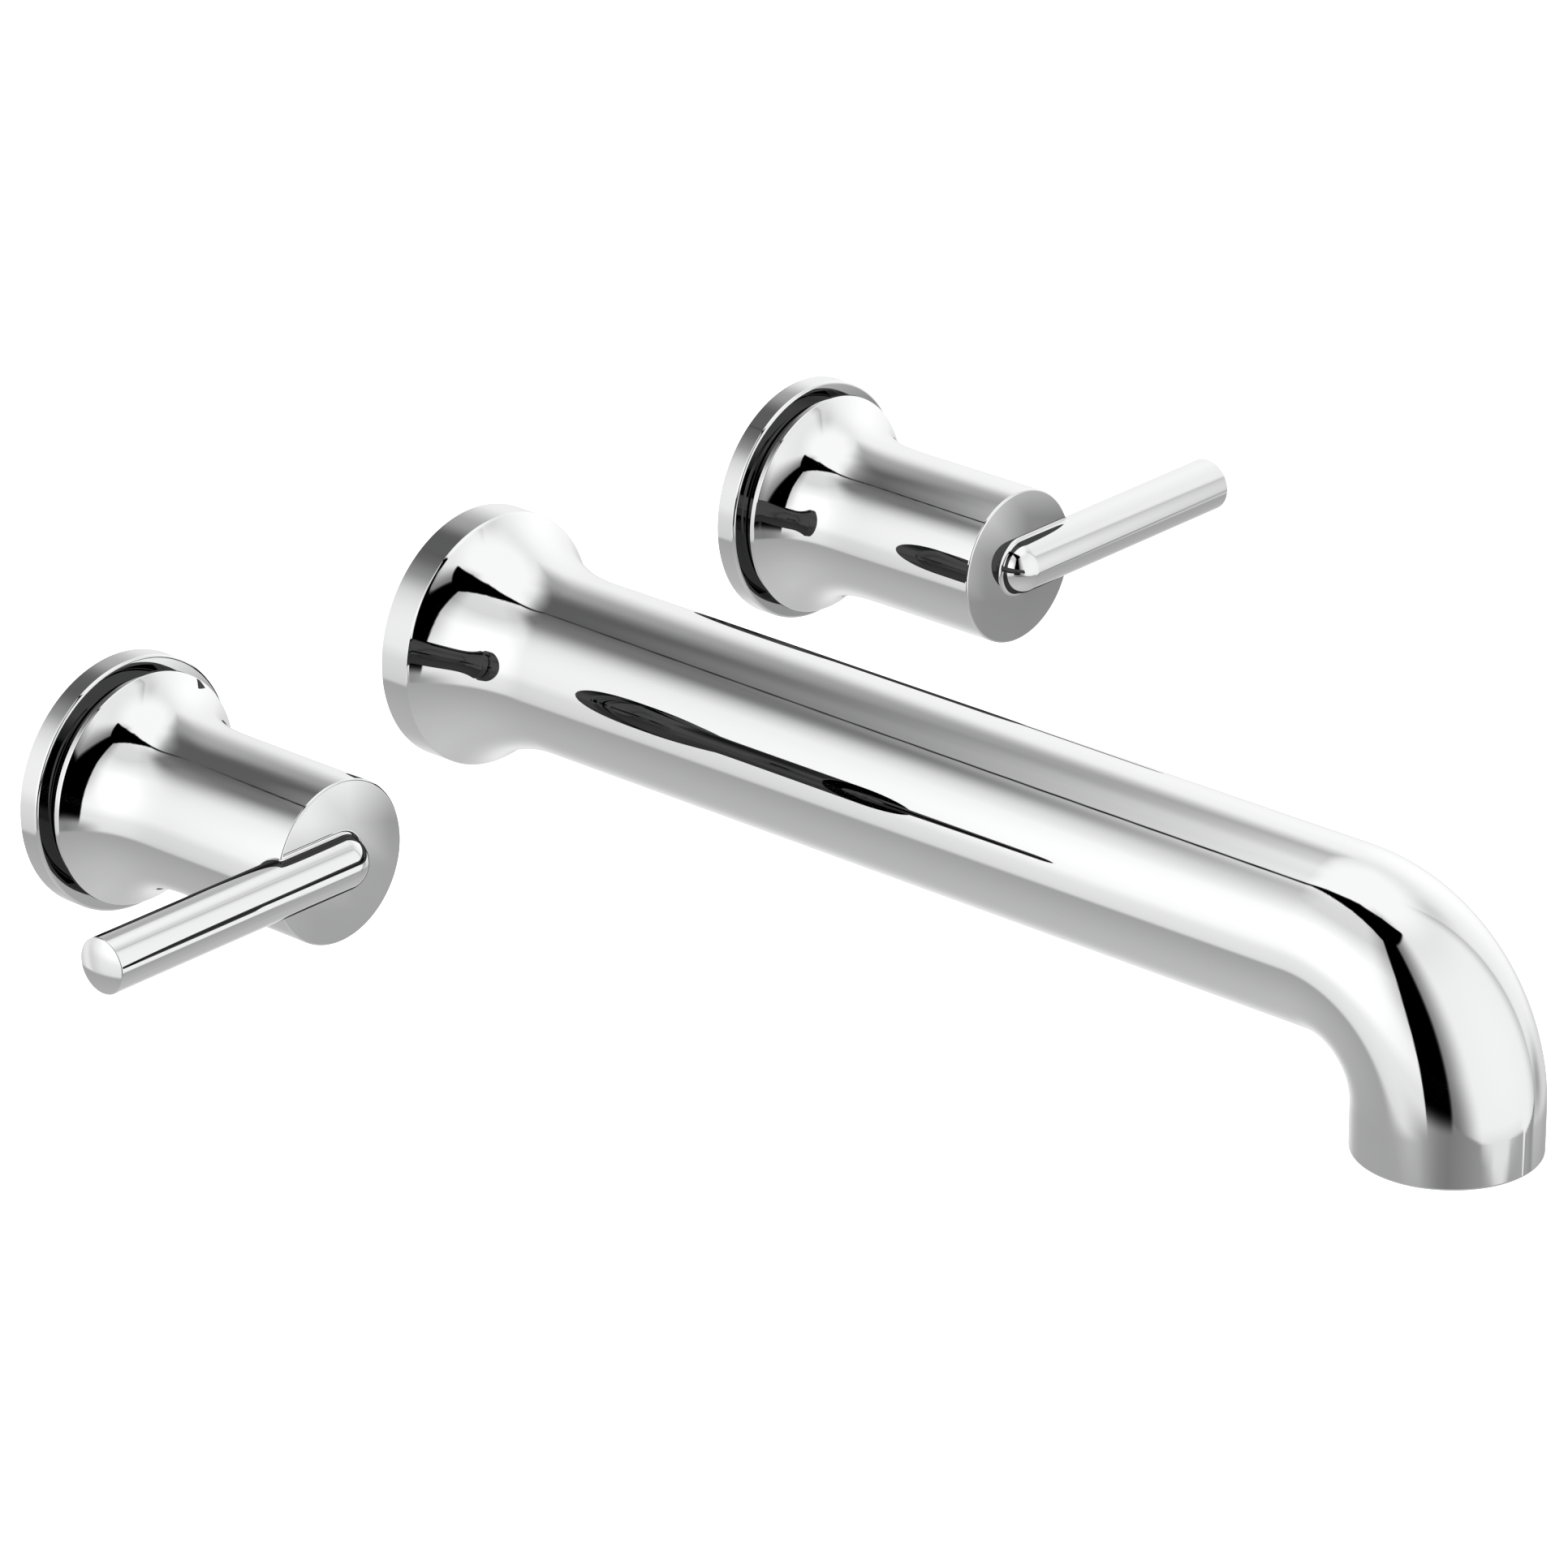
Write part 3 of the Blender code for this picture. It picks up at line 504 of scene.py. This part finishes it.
def handle_hub(side, path):
    node = f"{side}_handle_hub"
    front = reach_of(node)[1]
    foot_radius, foot_out = HUB_BELL[3]
    bell = bezier(*HUB_BELL, 48)
    rim = rounded([
        (foot_radius - HUB_BELL_END, foot_out + HUB_BELL_END, 0),
        (RIM_RADIUS, RIM_FRONT, 0.0004),
        (RIM_RADIUS, RIM_BACK, 0.0002),
        (SKIRT_RADIUS, RIM_BACK, 0),
        (SKIRT_RADIUS, SKIRT_BACK, 0.0001),
        (SKIRT_BORE, SKIRT_BACK, 0.0001),
        *((radius, out, 0) for radius, out in HUB_HOLLOW),
        (HUB_BORE, HUB_BORE_END, 0),
        (0, HUB_BORE_END, 0),
        (0, front, 0),
        (HUB_RADIUS, front, HUB_EDGE),
    ])
    outline = bell[:-1] + rim[1:]
    start = outline.index(next(p for p in outline if p.x == 0 and abs(p.y - front) < 1e-6))
    outline = outline[start:] + outline[:start]
    hub = swept(f"{side}_hub", outline, path)
    drill(hub, path(SET_SCREW_OUT)[0], Vector((0, 0, -1)), SET_SCREW_HOLE,
          HUB_BORE - DRILL_START, HUB_RADIUS)
    place_piece(hub, node, f"{side}_handle", "polished_chrome")


def lever_outline():
    """From the domed tip, along the lever, round its half-ball inner end."""
    sphere = (LEVER_RADIUS ** 2 + LEVER_DOME ** 2) / (2 * LEVER_DOME)
    half = math.asin(LEVER_RADIUS / sphere)
    points = []
    for i in range(15):
        angle = half * i / 15
        out = LEVER_LENGTH + LEVER_DOME - sphere * (1 - math.cos(angle))
        points.append(Vector((sphere * math.sin(angle), out)))
    dome_edge = LEVER_LENGTH + LEVER_EDGE * math.tan(half)
    points.append(Vector((LEVER_RADIUS - LEVER_EDGE, dome_edge)))
    points.append(Vector((LEVER_RADIUS, LEVER_LENGTH - LEVER_EDGE)))
    points.append(Vector((LEVER_RADIUS, LEVER_LENGTH - LEVER_EDGE - SUPPORT)))
    points.append(Vector((LEVER_RADIUS, SUPPORT)))
    for i in range(25):
        angle = math.pi / 2 * i / 24
        points.append(Vector((LEVER_RADIUS * math.cos(angle), -LEVER_RADIUS * math.sin(angle))))
    points[-1].x = 0
    return points


def lever_rod(side, sign, front):
    path = straight((axis_x(side), -front, 0), (sign, 0, 0))
    rod = swept(f"{side}_lever", lever_outline(), path, MEDIUM_SIDES, 40)
    place_piece(rod, f"{side}_lever_rod", f"{side}_handle", "polished_chrome")


def ball_stops():
    """Where a ball rolled round the lever's foot touches: (centre, on lever, on hub).

    Coordinates are local: x along the lever, y out from the hub's end face, z up. The ball
    runs over the end face and the lever's half-ball, over the hub's edge and down its side.
    """
    far = LEVER_RADIUS + FILLET
    flat = math.sqrt(far ** 2 - FILLET ** 2)
    inner = HUB_RADIUS - HUB_EDGE
    stops = []
    for i in range(33):
        angle = math.pi / 2 + math.pi * i / 32
        ray = Vector((math.cos(angle), 0, math.sin(angle)))
        centre = flat * ray + Vector((0, FILLET, 0))
        stops.append((centre, centre.normalized() * LEVER_RADIUS, flat * ray))
    edge_x = math.sqrt(inner ** 2 - flat ** 2)
    lower = []
    for i in range(1, 9):
        lower.append(face_stop(edge_x * i / 9, flat))
    for i in range(9):
        lower.append(edge_stop(math.pi / 2 * (1 - i / 8), inner, far))
    start = math.asin(HUB_EDGE / far)
    for i in range(1, 25):
        lower.append(side_stop(start + (math.pi / 2 - start) * i / 24, far))
    upper = [tuple(Vector((p.x, p.y, -p.z)) for p in stop) for stop in reversed(lower[:-1])]
    return stops + lower + upper


def face_stop(x, flat):
    """On the hub's flat end face, x along the lever from the handle's axis."""
    centre = Vector((x, FILLET, -flat))
    foot = Vector((x, 0, 0))
    return centre, foot + (centre - foot).normalized() * LEVER_RADIUS, Vector((x, 0, -flat))


def edge_stop(turn, inner, far):
    """On the hub's rounded edge; turn runs from the end face (90 degrees) to the side."""
    rolling = HUB_EDGE + FILLET
    out = inner + rolling * math.cos(turn)
    y = -HUB_EDGE + rolling * math.sin(turn)
    z = math.sqrt(far ** 2 - y ** 2)
    x = math.sqrt(out ** 2 - z ** 2)
    centre = Vector((x, y, -z))
    spine = Vector((x * inner / out, -HUB_EDGE, -z * inner / out))
    foot = Vector((x, 0, 0))
    on_lever = foot + (centre - foot) * (LEVER_RADIUS / far)
    return centre, on_lever, spine + (centre - spine) * (HUB_EDGE / rolling)


def side_stop(angle, far):
    """On the hub's side; angle turns about the lever from the end face to the back."""
    y = -far * math.sin(angle)
    z = far * math.cos(angle)
    x = math.sqrt((HUB_RADIUS + FILLET) ** 2 - z ** 2)
    centre = Vector((x, y, -z))
    foot = Vector((x, 0, 0))
    on_lever = foot + (centre - foot) * (LEVER_RADIUS / far)
    share = HUB_RADIUS / (HUB_RADIUS + FILLET)
    return centre, on_lever, Vector((x * share, y, -z * share))


def lever_fillet(side, sign, front):
    """The concave blend all round the lever's foot, closed inside the metal."""
    origin = Vector((axis_x(side), -front, 0))
    solid = bmesh.new()
    rows = []
    for centre, on_lever, on_hub in ball_stops():
        first, last = (on_lever - centre).normalized(), (on_hub - centre).normalized()
        row = [centre + FILLET * first.slerp(last, i / FILLET_STEPS)
               for i in range(FILLET_STEPS + 1)]
        corner = on_lever + on_hub - centre
        row.append(corner + (corner - centre) * FILLET_DEPTH)
        world = [origin + Vector((sign * p.x, -p.y, p.z)) for p in row]
        rows.append([solid.verts.new(point) for point in world])
    for row, following in zip(rows, rows[1:] + rows[:1]):
        for i in range(len(row)):
            j = (i + 1) % len(row)
            solid.faces.new((row[i], row[j], following[j], following[i]))
    fillet = finished(f"{side}_lever_fillet", solid, 50)
    fillet.data.materials.append(FINISHES["polished_chrome"])
    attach(fillet, f"{side}_handle")


def set_screw(name, node, body, place):
    """A cup-point screw with a hexagon socket, its axis upright and its head below."""
    low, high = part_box(node)
    radius = (high.x - low.x) / 2
    head = place.z - low.z
    tip = place.z - high.z
    path = straight(place, (0, 0, -1))
    outline = rounded([
        (0, head, 0),
        (radius, head, 0.0003),
        (radius, tip, 0.0006),
        (radius * CUP_WIDTH, tip, 0),
        (0, tip + CUP_DEPTH, 0),
    ])
    screw = swept(name, outline, path, SCREW_SIDES)
    width = radius * SOCKET_WIDTH
    socket = [
        (0, head + GAP),
        (width, head + GAP),
        (width, head - SOCKET_DEPTH[0]),
        (0, head - SOCKET_DEPTH[1]),
    ]
    combine(screw, swept("socket", socket, path, HEXAGON), "DIFFERENCE")
    place_piece(screw, node, body, "steel")


def handle(side, sign):
    front = reach_of(f"{side}_handle_hub")[1]
    path = straight((axis_x(side), 0, 0), (0, -1, 0))
    escutcheon_ring(side, path)
    valve_neck(side, path)
    neck_nut(side, path)
    handle_hub(side, path)
    lever_rod(side, sign, front)
    lever_fillet(side, sign, front)
    set_screw(f"{side}_socket_screw", f"{side}_hub_set_screw", f"{side}_handle",
              path(SET_SCREW_OUT)[0])


# --- Spout pieces ------------------------------------------------------------------

BEND_RADIUS = 0.0266
TUBE_RADIUS = 0.01866
SPOUT_BORE = 0.0160
SPOUT_SEAT = 0.004               # width of the flange's inner seat on the wall
OUTLET_LENGTH = 0.03             # of the bore's first point back from the outlet
SPOUT_BELL = ((0.02693, 0.0077), (0.0265, 0.00835), (TUBE_RADIUS, 0.0166), (TUBE_RADIUS, 0.03115))
FLANGE_EDGE = 0.0006             # rounding between the flange's side and the bell
SPOUT_SCREW_OUT = 0.0180
SPOUT_SCREW_HOLE = 0.0028
SPOUT_SCREW_MOUTH = 0.0210       # from the spout's axis to the hole's mouth in the bell
AERATOR_LIP_BORE = 0.0115        # the lip at the top of the housing holds the washer
AERATOR_BORE = 0.0130
AERATOR_LIP = 0.0010


def spout_path():
    """The spout's axis: out from the wall, a quarter bend, then down."""
    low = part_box("spout_body")[0]
    reach = -low.y - TUBE_RADIUS
    bend_start = reach - BEND_RADIUS
    bend_length = BEND_RADIUS * math.pi / 2
    drop = -low.z

    def path(distance):
        if distance <= bend_start:
            return Vector((0, -distance, 0)), Vector((0, -1, 0))
        if distance >= bend_start + bend_length:
            down = distance - bend_start - bend_length
            return Vector((0, -reach, -BEND_RADIUS - down)), Vector((0, 0, -1))
        angle = (distance - bend_start) / BEND_RADIUS
        centre = Vector((0, -bend_start - BEND_RADIUS * math.sin(angle),
                         BEND_RADIUS * (math.cos(angle) - 1)))
        return centre, Vector((0, -math.cos(angle), -math.sin(angle)))

    end = bend_start + bend_length + drop - BEND_RADIUS
    return path, bend_start, bend_start + bend_length, end


def spout_body():
    path, bend_start, bend_end, end = spout_path()
    flange = radius_of("spout_body")
    gasket = radius_of("spout_wall_gasket") + GAP
    seat = radius_of("spout_connector") + SPOUT_SEAT
    first, second = Vector(SPOUT_BELL[0]), Vector(SPOUT_BELL[1])
    back_along = (first - second).normalized()
    corner = first + back_along * ((flange - first.x) / back_along.x)
    bend = [bend_start + (bend_end - bend_start) * i / 72 for i in range(73)]
    flange_part = rounded([
        (SPOUT_BORE, end - OUTLET_LENGTH, 0),
        (SPOUT_BORE, 0, 0.0001),
        (seat, 0, 0.0001),
        (seat, RECESS, 0),
        (gasket, RECESS, 0),
        (gasket, 0, 0.0001),
        (flange, 0, 0.0002),
        (corner.x, corner.y, FLANGE_EDGE),
        (second.x, second.y, 0),
    ])
    outlet = rounded([
        (TUBE_RADIUS, bend_end, 0),
        (TUBE_RADIUS, end, 0.0005),
        (SPOUT_BORE, end, 0.0002),
        (SPOUT_BORE, bend_end, 0),
    ])
    outline = flange_part[1:-1] + bezier(*SPOUT_BELL, 56)[1:]
    outline += [Vector((TUBE_RADIUS, distance)) for distance in bend]
    outline += outlet[1:-1]
    outline += [Vector((SPOUT_BORE, distance)) for distance in reversed(bend)]
    obj = swept("spout", outline, path)
    drill(obj, path(SPOUT_SCREW_OUT)[0], Vector((0, 0, -1)), SPOUT_SCREW_HOLE,
          SPOUT_BORE - DRILL_START, SPOUT_SCREW_MOUTH)
    place_piece(obj, "spout_body", ROOT, "polished_chrome")
    wall_gasket("spout_gasket", "spout_wall_gasket", gasket, seat, path)
    set_screw("spout_socket_screw", "spout_set_screw", ROOT, path(SPOUT_SCREW_OUT)[0])


def outlet():
    """The aerator's housing, rounded at its rims, in the spout's mouth."""
    low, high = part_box("aerator_housing")
    centre = (low + high) / 2
    radius = (high.x - low.x) / 2
    path = straight((centre.x, centre.y, high.z), (0, 0, -1))
    length = high.z - low.z
    outline = rounded([
        (radius, length, 0.0004),
        (radius, 0, 0.0002),
        (AERATOR_LIP_BORE, 0, 0.0002),
        (AERATOR_LIP_BORE, AERATOR_LIP, 0.0001),
        (AERATOR_BORE, AERATOR_LIP, 0),
        (AERATOR_BORE, length, 0.0005),
    ])
    obj = swept("aerator_shell", outline, path, sharp=40)
    place_piece(obj, "aerator_housing", ROOT, "polished_chrome")


# --- Camera and light --------------------------------------------------------------

CAMERA_PLACE = (-1.0532, -1.0397, 0.6152)
CAMERA_TURN = (47.866, 23.752, -0.305)   # degrees: to the right, down, roll
LENS = 176.66                    # mm, on a sensor 36 mm wide
DOME_RADIUS = 1.2
DOME_CENTRE = (0, -0.100, 0)
DOME_STEP = 0.75                 # degrees between points
SECOND_REFLECTION = 0.07         # share of the light left in a mirror image of a mirror
CHROME_SHARE = 0.93              # of the light, as chrome sends it back
FLOOR_DEPTH = -1.9
FLOOR_SIZE = 40


def camera():
    lens = bpy.data.cameras.new("camera")
    lens.sensor_width = 36
    lens.lens = LENS
    lens.clip_end = 20
    obj = bpy.data.objects.new("camera", lens)
    bpy.context.scene.collection.objects.link(obj)
    azimuth, elevation, roll = (math.radians(angle) for angle in CAMERA_TURN)
    forward = Vector((math.sin(azimuth) * math.cos(elevation),
                      math.cos(azimuth) * math.cos(elevation), -math.sin(elevation)))
    facing = forward.to_track_quat("-Z", "Y").to_matrix() @ Matrix.Rotation(roll, 3, "Z")
    obj.matrix_world = Matrix.Translation(CAMERA_PLACE) @ facing.to_4x4()
    bpy.context.scene.camera = obj


def mix(first, second, share):
    return first + (second - first) * share


def step(value, edge, soft):
    """0 below the edge and 1 above it, eased over soft degrees."""
    share = min(max((value - edge) / soft + 0.5, 0.0), 1.0)
    return share * share * (3 - 2 * share)


def along(value, points):
    """Straight lines through (place, height) points."""
    if value <= points[0][0]:
        return points[0][1]
    for (start, low), (end, high) in zip(points, points[1:]):
        if value <= end:
            return low + (high - low) * (value - start) / (end - start)
    return points[-1][1]


def spot(azimuth, elevation, centre, spread):
    """1 at the centre, fading away to all sides over the spread."""
    turn = (azimuth - centre[0] + 180) % 360 - 180
    return math.exp(-(turn / spread[0]) ** 2 - ((elevation - centre[1]) / spread[1]) ** 2)


def floor_light(az, el):
    """Grey floor, brighter where the lamp on the right falls on it."""
    level = along(el, [(-90, 0.76), (-60, 0.72), (-45, 0.68), (-28, 0.63)])
    return level + 0.24 * spot(az, el, (135, -34), (26, 20))


def rim_light(az, el):
    """The dim strip between the floor and the front softbox."""
    level = along(az, [(-75, 0.66), (-65, 0.57), (-55, 0.50), (-45, 0.47), (-30, 0.51),
                       (-10, 0.57), (20, 0.62), (44, 0.64), (50, 0.60), (60, 0.60), (75, 0.65)])
    level -= 0.13 * spot(az, el, (43.5, -24.8), (1.2, 0.9))
    return level - 0.12 * spot(az, el, (56, -19.5), (3, 2))


def rear_light(az, el):
    """The unlit room above and behind the faucet."""
    around = abs((az - 178 + 180) % 360 - 180)
    level = along(el, [(20, 0.80), (30, 0.65), (38, 0.47), (44, 0.35), (49, 0.36), (55, 0.60),
                       (61, 0.83), (70, 0.95)])
    return level + 0.10 * step(around, 18, 20)


def left_box(az, el):
    """The softbox on the left."""
    level = along(el, [(-28, 0.84), (-22, 0.87), (-12, 0.88), (-4, 0.94), (30, 0.965),
                       (40, 0.90), (48, 0.83), (66, 0.86)])
    level -= 0.22 * step(az, -70, 22) * step(el, 8, 30)
    level -= 0.04 * (1 - step(az, -128, 16))
    level -= 0.28 * step(az, -80, 36) * (1 - step(el, -20, 10))
    return min(level + 0.10 * spot(az, el, (-103, 12), (24, 24)), 1.0)


def front_box(az, el):
    """The softbox in front, darker towards its left edge."""
    level = 0.93 + 0.02 * spot(az, el, (15, 10), (30, 30)) - 0.035 * step(el, 48, 24)
    dim_edge = along(el, [(-25, -22), (0, -32), (30, -36), (60, -38)])
    level -= 0.50 * (1 - step(az, dim_edge, 30))
    level -= 0.06 * step(az, 50, 14)
    level -= 0.08 * (1 - step(el, -22, 10)) * (1 - step(az, 36, 4))
    return level


def right_box(az, el):
    """The softbox on the right, the brightest one."""
    level = 0.91 + 0.09 * spot(az, el, (100, 14), (28, 30)) - 0.03 * step(el, 40, 20)
    level -= 0.10 * (1 - step(el, -14, 14))
    return min(level - 0.22 * spot(az, el, (66, -15), (9, 7)), 1.0)


def black_band(az, el):
    """An unlit upright gap between the left and front softboxes."""
    left = along(el, [(-12, -68), (20, -65.5), (34, -64), (55, -63.5), (60, -62), (66, -58)])
    right = along(el, [(-12, -41.5), (20, -44.0), (50, -47.5), (60, -49), (66, -48)])
    across = step(az, left, 1.0) * (1 - step(az, right, 4))
    return across * step(el, -17, 9) * (1 - step(el, 70, 3))


def black_arc(az, el):
    """The unlit gap over the left softbox, tapering away to both ends."""
    lower = along(az, [(-172, 46), (-165, 50.5), (-158, 55), (-150, 60.5), (-140, 63.7),
                       (-129, 65.7), (-113, 66.8), (-97, 66.4), (-83, 64), (-72, 60.4),
                       (-63.5, 55.5), (-50, 56), (-40, 60), (-27, 65.5)])
    upper = along(az, [(-172, 47), (-165, 52), (-158, 58), (-150, 64), (-143, 68), (-131, 72),
                       (-116, 75.5), (-96, 77.4), (-68, 76), (-50, 74), (-40, 71), (-27, 66.5)])
    ends = step(az, -170, 8) * (1 - step(az, -27, 2))
    return step(el, lower, 1.0) * (1 - step(el, upper, 1.6)) * ends


def studio(az, el):
    """How bright the dome looks, 0 to 1.

    The azimuth is in degrees to the right of straight ahead, the elevation up from level.
    """
    shape = step(el, -27.5, 2) * step(az, -80, 10) * (1 - step(az, 70, 14))
    level = mix(floor_light(az, el), rim_light(az, el), shape)
    behind = max(1 - step(az, -140, 24), step(az, 152, 26))
    level = mix(level, rear_light(az, el), step(el, -27, 2) * behind)
    edge = along(el, [(-12, -67.5), (20, -65.5), (34, -63.5), (55, -63), (62, -60)])
    shape = step(el, -27, 4) * step(az, -143, 20) * (1 - step(az, edge, 1.0))
    level = mix(level, left_box(az, el), shape)
    bottom = along(az, [(-45, -15), (-30, -19.5), (-10, -23.4), (0, -24.2), (6, -25.0),
                        (12, -25.4), (18, -24.7), (23, -23.8), (39.6, -23.4), (40.4, -26.6),
                        (42, -25.6), (43, -24.6), (50, -22.6), (53.5, -21.2), (54.6, -20.0),
                        (58, -17.5)])
    edge = along(el, [(-12, -42.5), (20, -46), (50, -49), (62, -50)])
    shape = step(el, bottom, 1.6) * step(az, edge, 2) * (1 - step(az, 57, 5))
    level = mix(level, front_box(az, el), shape)
    edge = along(el, [(-20, 150), (10, 146), (30, 138), (45, 128), (60, 150)])
    shape = step(el, -26, 5) * step(az, 57, 5) * (1 - step(az, edge, 26))
    level = mix(level, right_box(az, el), shape)
    level -= 0.07 * spot(az, el, (55, 20), (4, 50)) + 0.07 * spot(az, el, (66, 50), (10, 10))
    zenith = along(az, [(-180, 64), (-150, 60), (-100, 72), (-60, 74), (-20, 68), (60, 62),
                        (110, 52), (140, 56), (180, 64)])
    level = mix(level, 0.97, step(el, zenith, 20))
    return level * (1 - max(black_band(az, el), black_arc(az, el)))


def dome_light():
    """A closed dome round the faucet, lit on its inside, that only reflections see."""
    columns, rows = round(360 / DOME_STEP), round(180 / DOME_STEP)
    solid = bmesh.new()
    glow = solid.verts.layers.float_color.new("glow")
    rings = []
    for row in range(1, rows):
        elevation = 90 - 180 * row / rows
        ring = []
        for column in range(columns):
            azimuth = 360 * column / columns - 180
            ring.append(dome_point(solid, glow, azimuth, elevation))
        rings.append(ring)
    rings.insert(0, [dome_point(solid, glow, 0, 90)])
    rings.append([dome_point(solid, glow, 0, -90)])
    for low, high in zip(rings, rings[1:]):
        join_rings(solid, low, high, columns)
    obj = finished("dome", solid)
    obj.location = DOME_CENTRE
    obj.data.materials.append(glow_material())
    obj.visible_camera = False
    obj.visible_shadow = False


def dome_point(solid, glow, azimuth, elevation):
    """One point of the dome, lit so that chrome shows the studio's brightness there."""
    turn, rise = math.radians(azimuth), math.radians(elevation)
    direction = Vector((math.sin(turn) * math.cos(rise),
                        -math.cos(turn) * math.cos(rise), math.sin(rise)))
    point = solid.verts.new(direction * DOME_RADIUS)
    light = linear(studio(azimuth, elevation)) / CHROME_SHARE
    point[glow] = (light, light, light, 1)
    return point


def linear(shown):
    """The light behind a brightness on the screen (the standard screen curve)."""
    return shown / 12.92 if shown < 0.04045 else ((shown + 0.055) / 1.055) ** 2.4


def glow_material():
    """The dome's own light, much dimmer in a mirror image of a mirror."""
    material = bpy.data.materials.new("dome_glow")
    material.use_nodes = True
    tree = material.node_tree
    tree.nodes.clear()
    attribute = tree.nodes.new("ShaderNodeAttribute")
    attribute.attribute_name = "glow"
    emission = tree.nodes.new("ShaderNodeEmission")
    output = tree.nodes.new("ShaderNodeOutputMaterial")
    tree.links.new(attribute.outputs["Color"], emission.inputs["Color"])
    path = tree.nodes.new("ShaderNodeLightPath")
    dimming = tree.nodes.new("ShaderNodeMapRange")
    dimming.inputs["From Min"].default_value = 1.0
    dimming.inputs["From Max"].default_value = 2.0
    dimming.inputs["To Min"].default_value = 1.0
    dimming.inputs["To Max"].default_value = SECOND_REFLECTION
    tree.links.new(path.outputs["Glossy Depth"], dimming.inputs["Value"])
    tree.links.new(dimming.outputs["Result"], emission.inputs["Strength"])
    tree.links.new(emission.outputs["Emission"], output.inputs["Surface"])
    material.cycles.emission_sampling = "NONE"
    return material


def pale_floor():
    """A plain white floor far enough below to leave room for low views."""
    solid = bmesh.new()
    bmesh.ops.create_grid(solid, x_segments=8, y_segments=8, size=FLOOR_SIZE)
    floor = finished("floor", solid)
    floor.location = (0, 0, FLOOR_DEPTH)
    nodes = Nodes("white_floor", (0.9, 0.9, 0.9), 0.0, 0.9)
    nodes.link(nodes.colours(nodes.noise(2.0), (0.90, 0.90, 0.90), (0.93, 0.93, 0.93)),
               "Base Color")
    nodes.shader.inputs["Emission Color"].default_value = (1, 1, 1, 1)
    nodes.shader.inputs["Emission Strength"].default_value = 1.0
    floor.data.materials.append(nodes.material)


def world_light():
    world = bpy.data.worlds.new("studio")
    bpy.context.scene.world = world
    world.use_nodes = True
    world.node_tree.nodes["Background"].inputs["Color"].default_value = (1, 1, 1, 1)


def main():
    dress_nodes()
    for side, sign in SIDE_SIGNS.items():
        handle(side, sign)
    spout_body()
    outlet()
    camera()
    dome_light()
    pale_floor()
    world_light()
    bpy.context.scene.view_settings.view_transform = "Standard"


main()
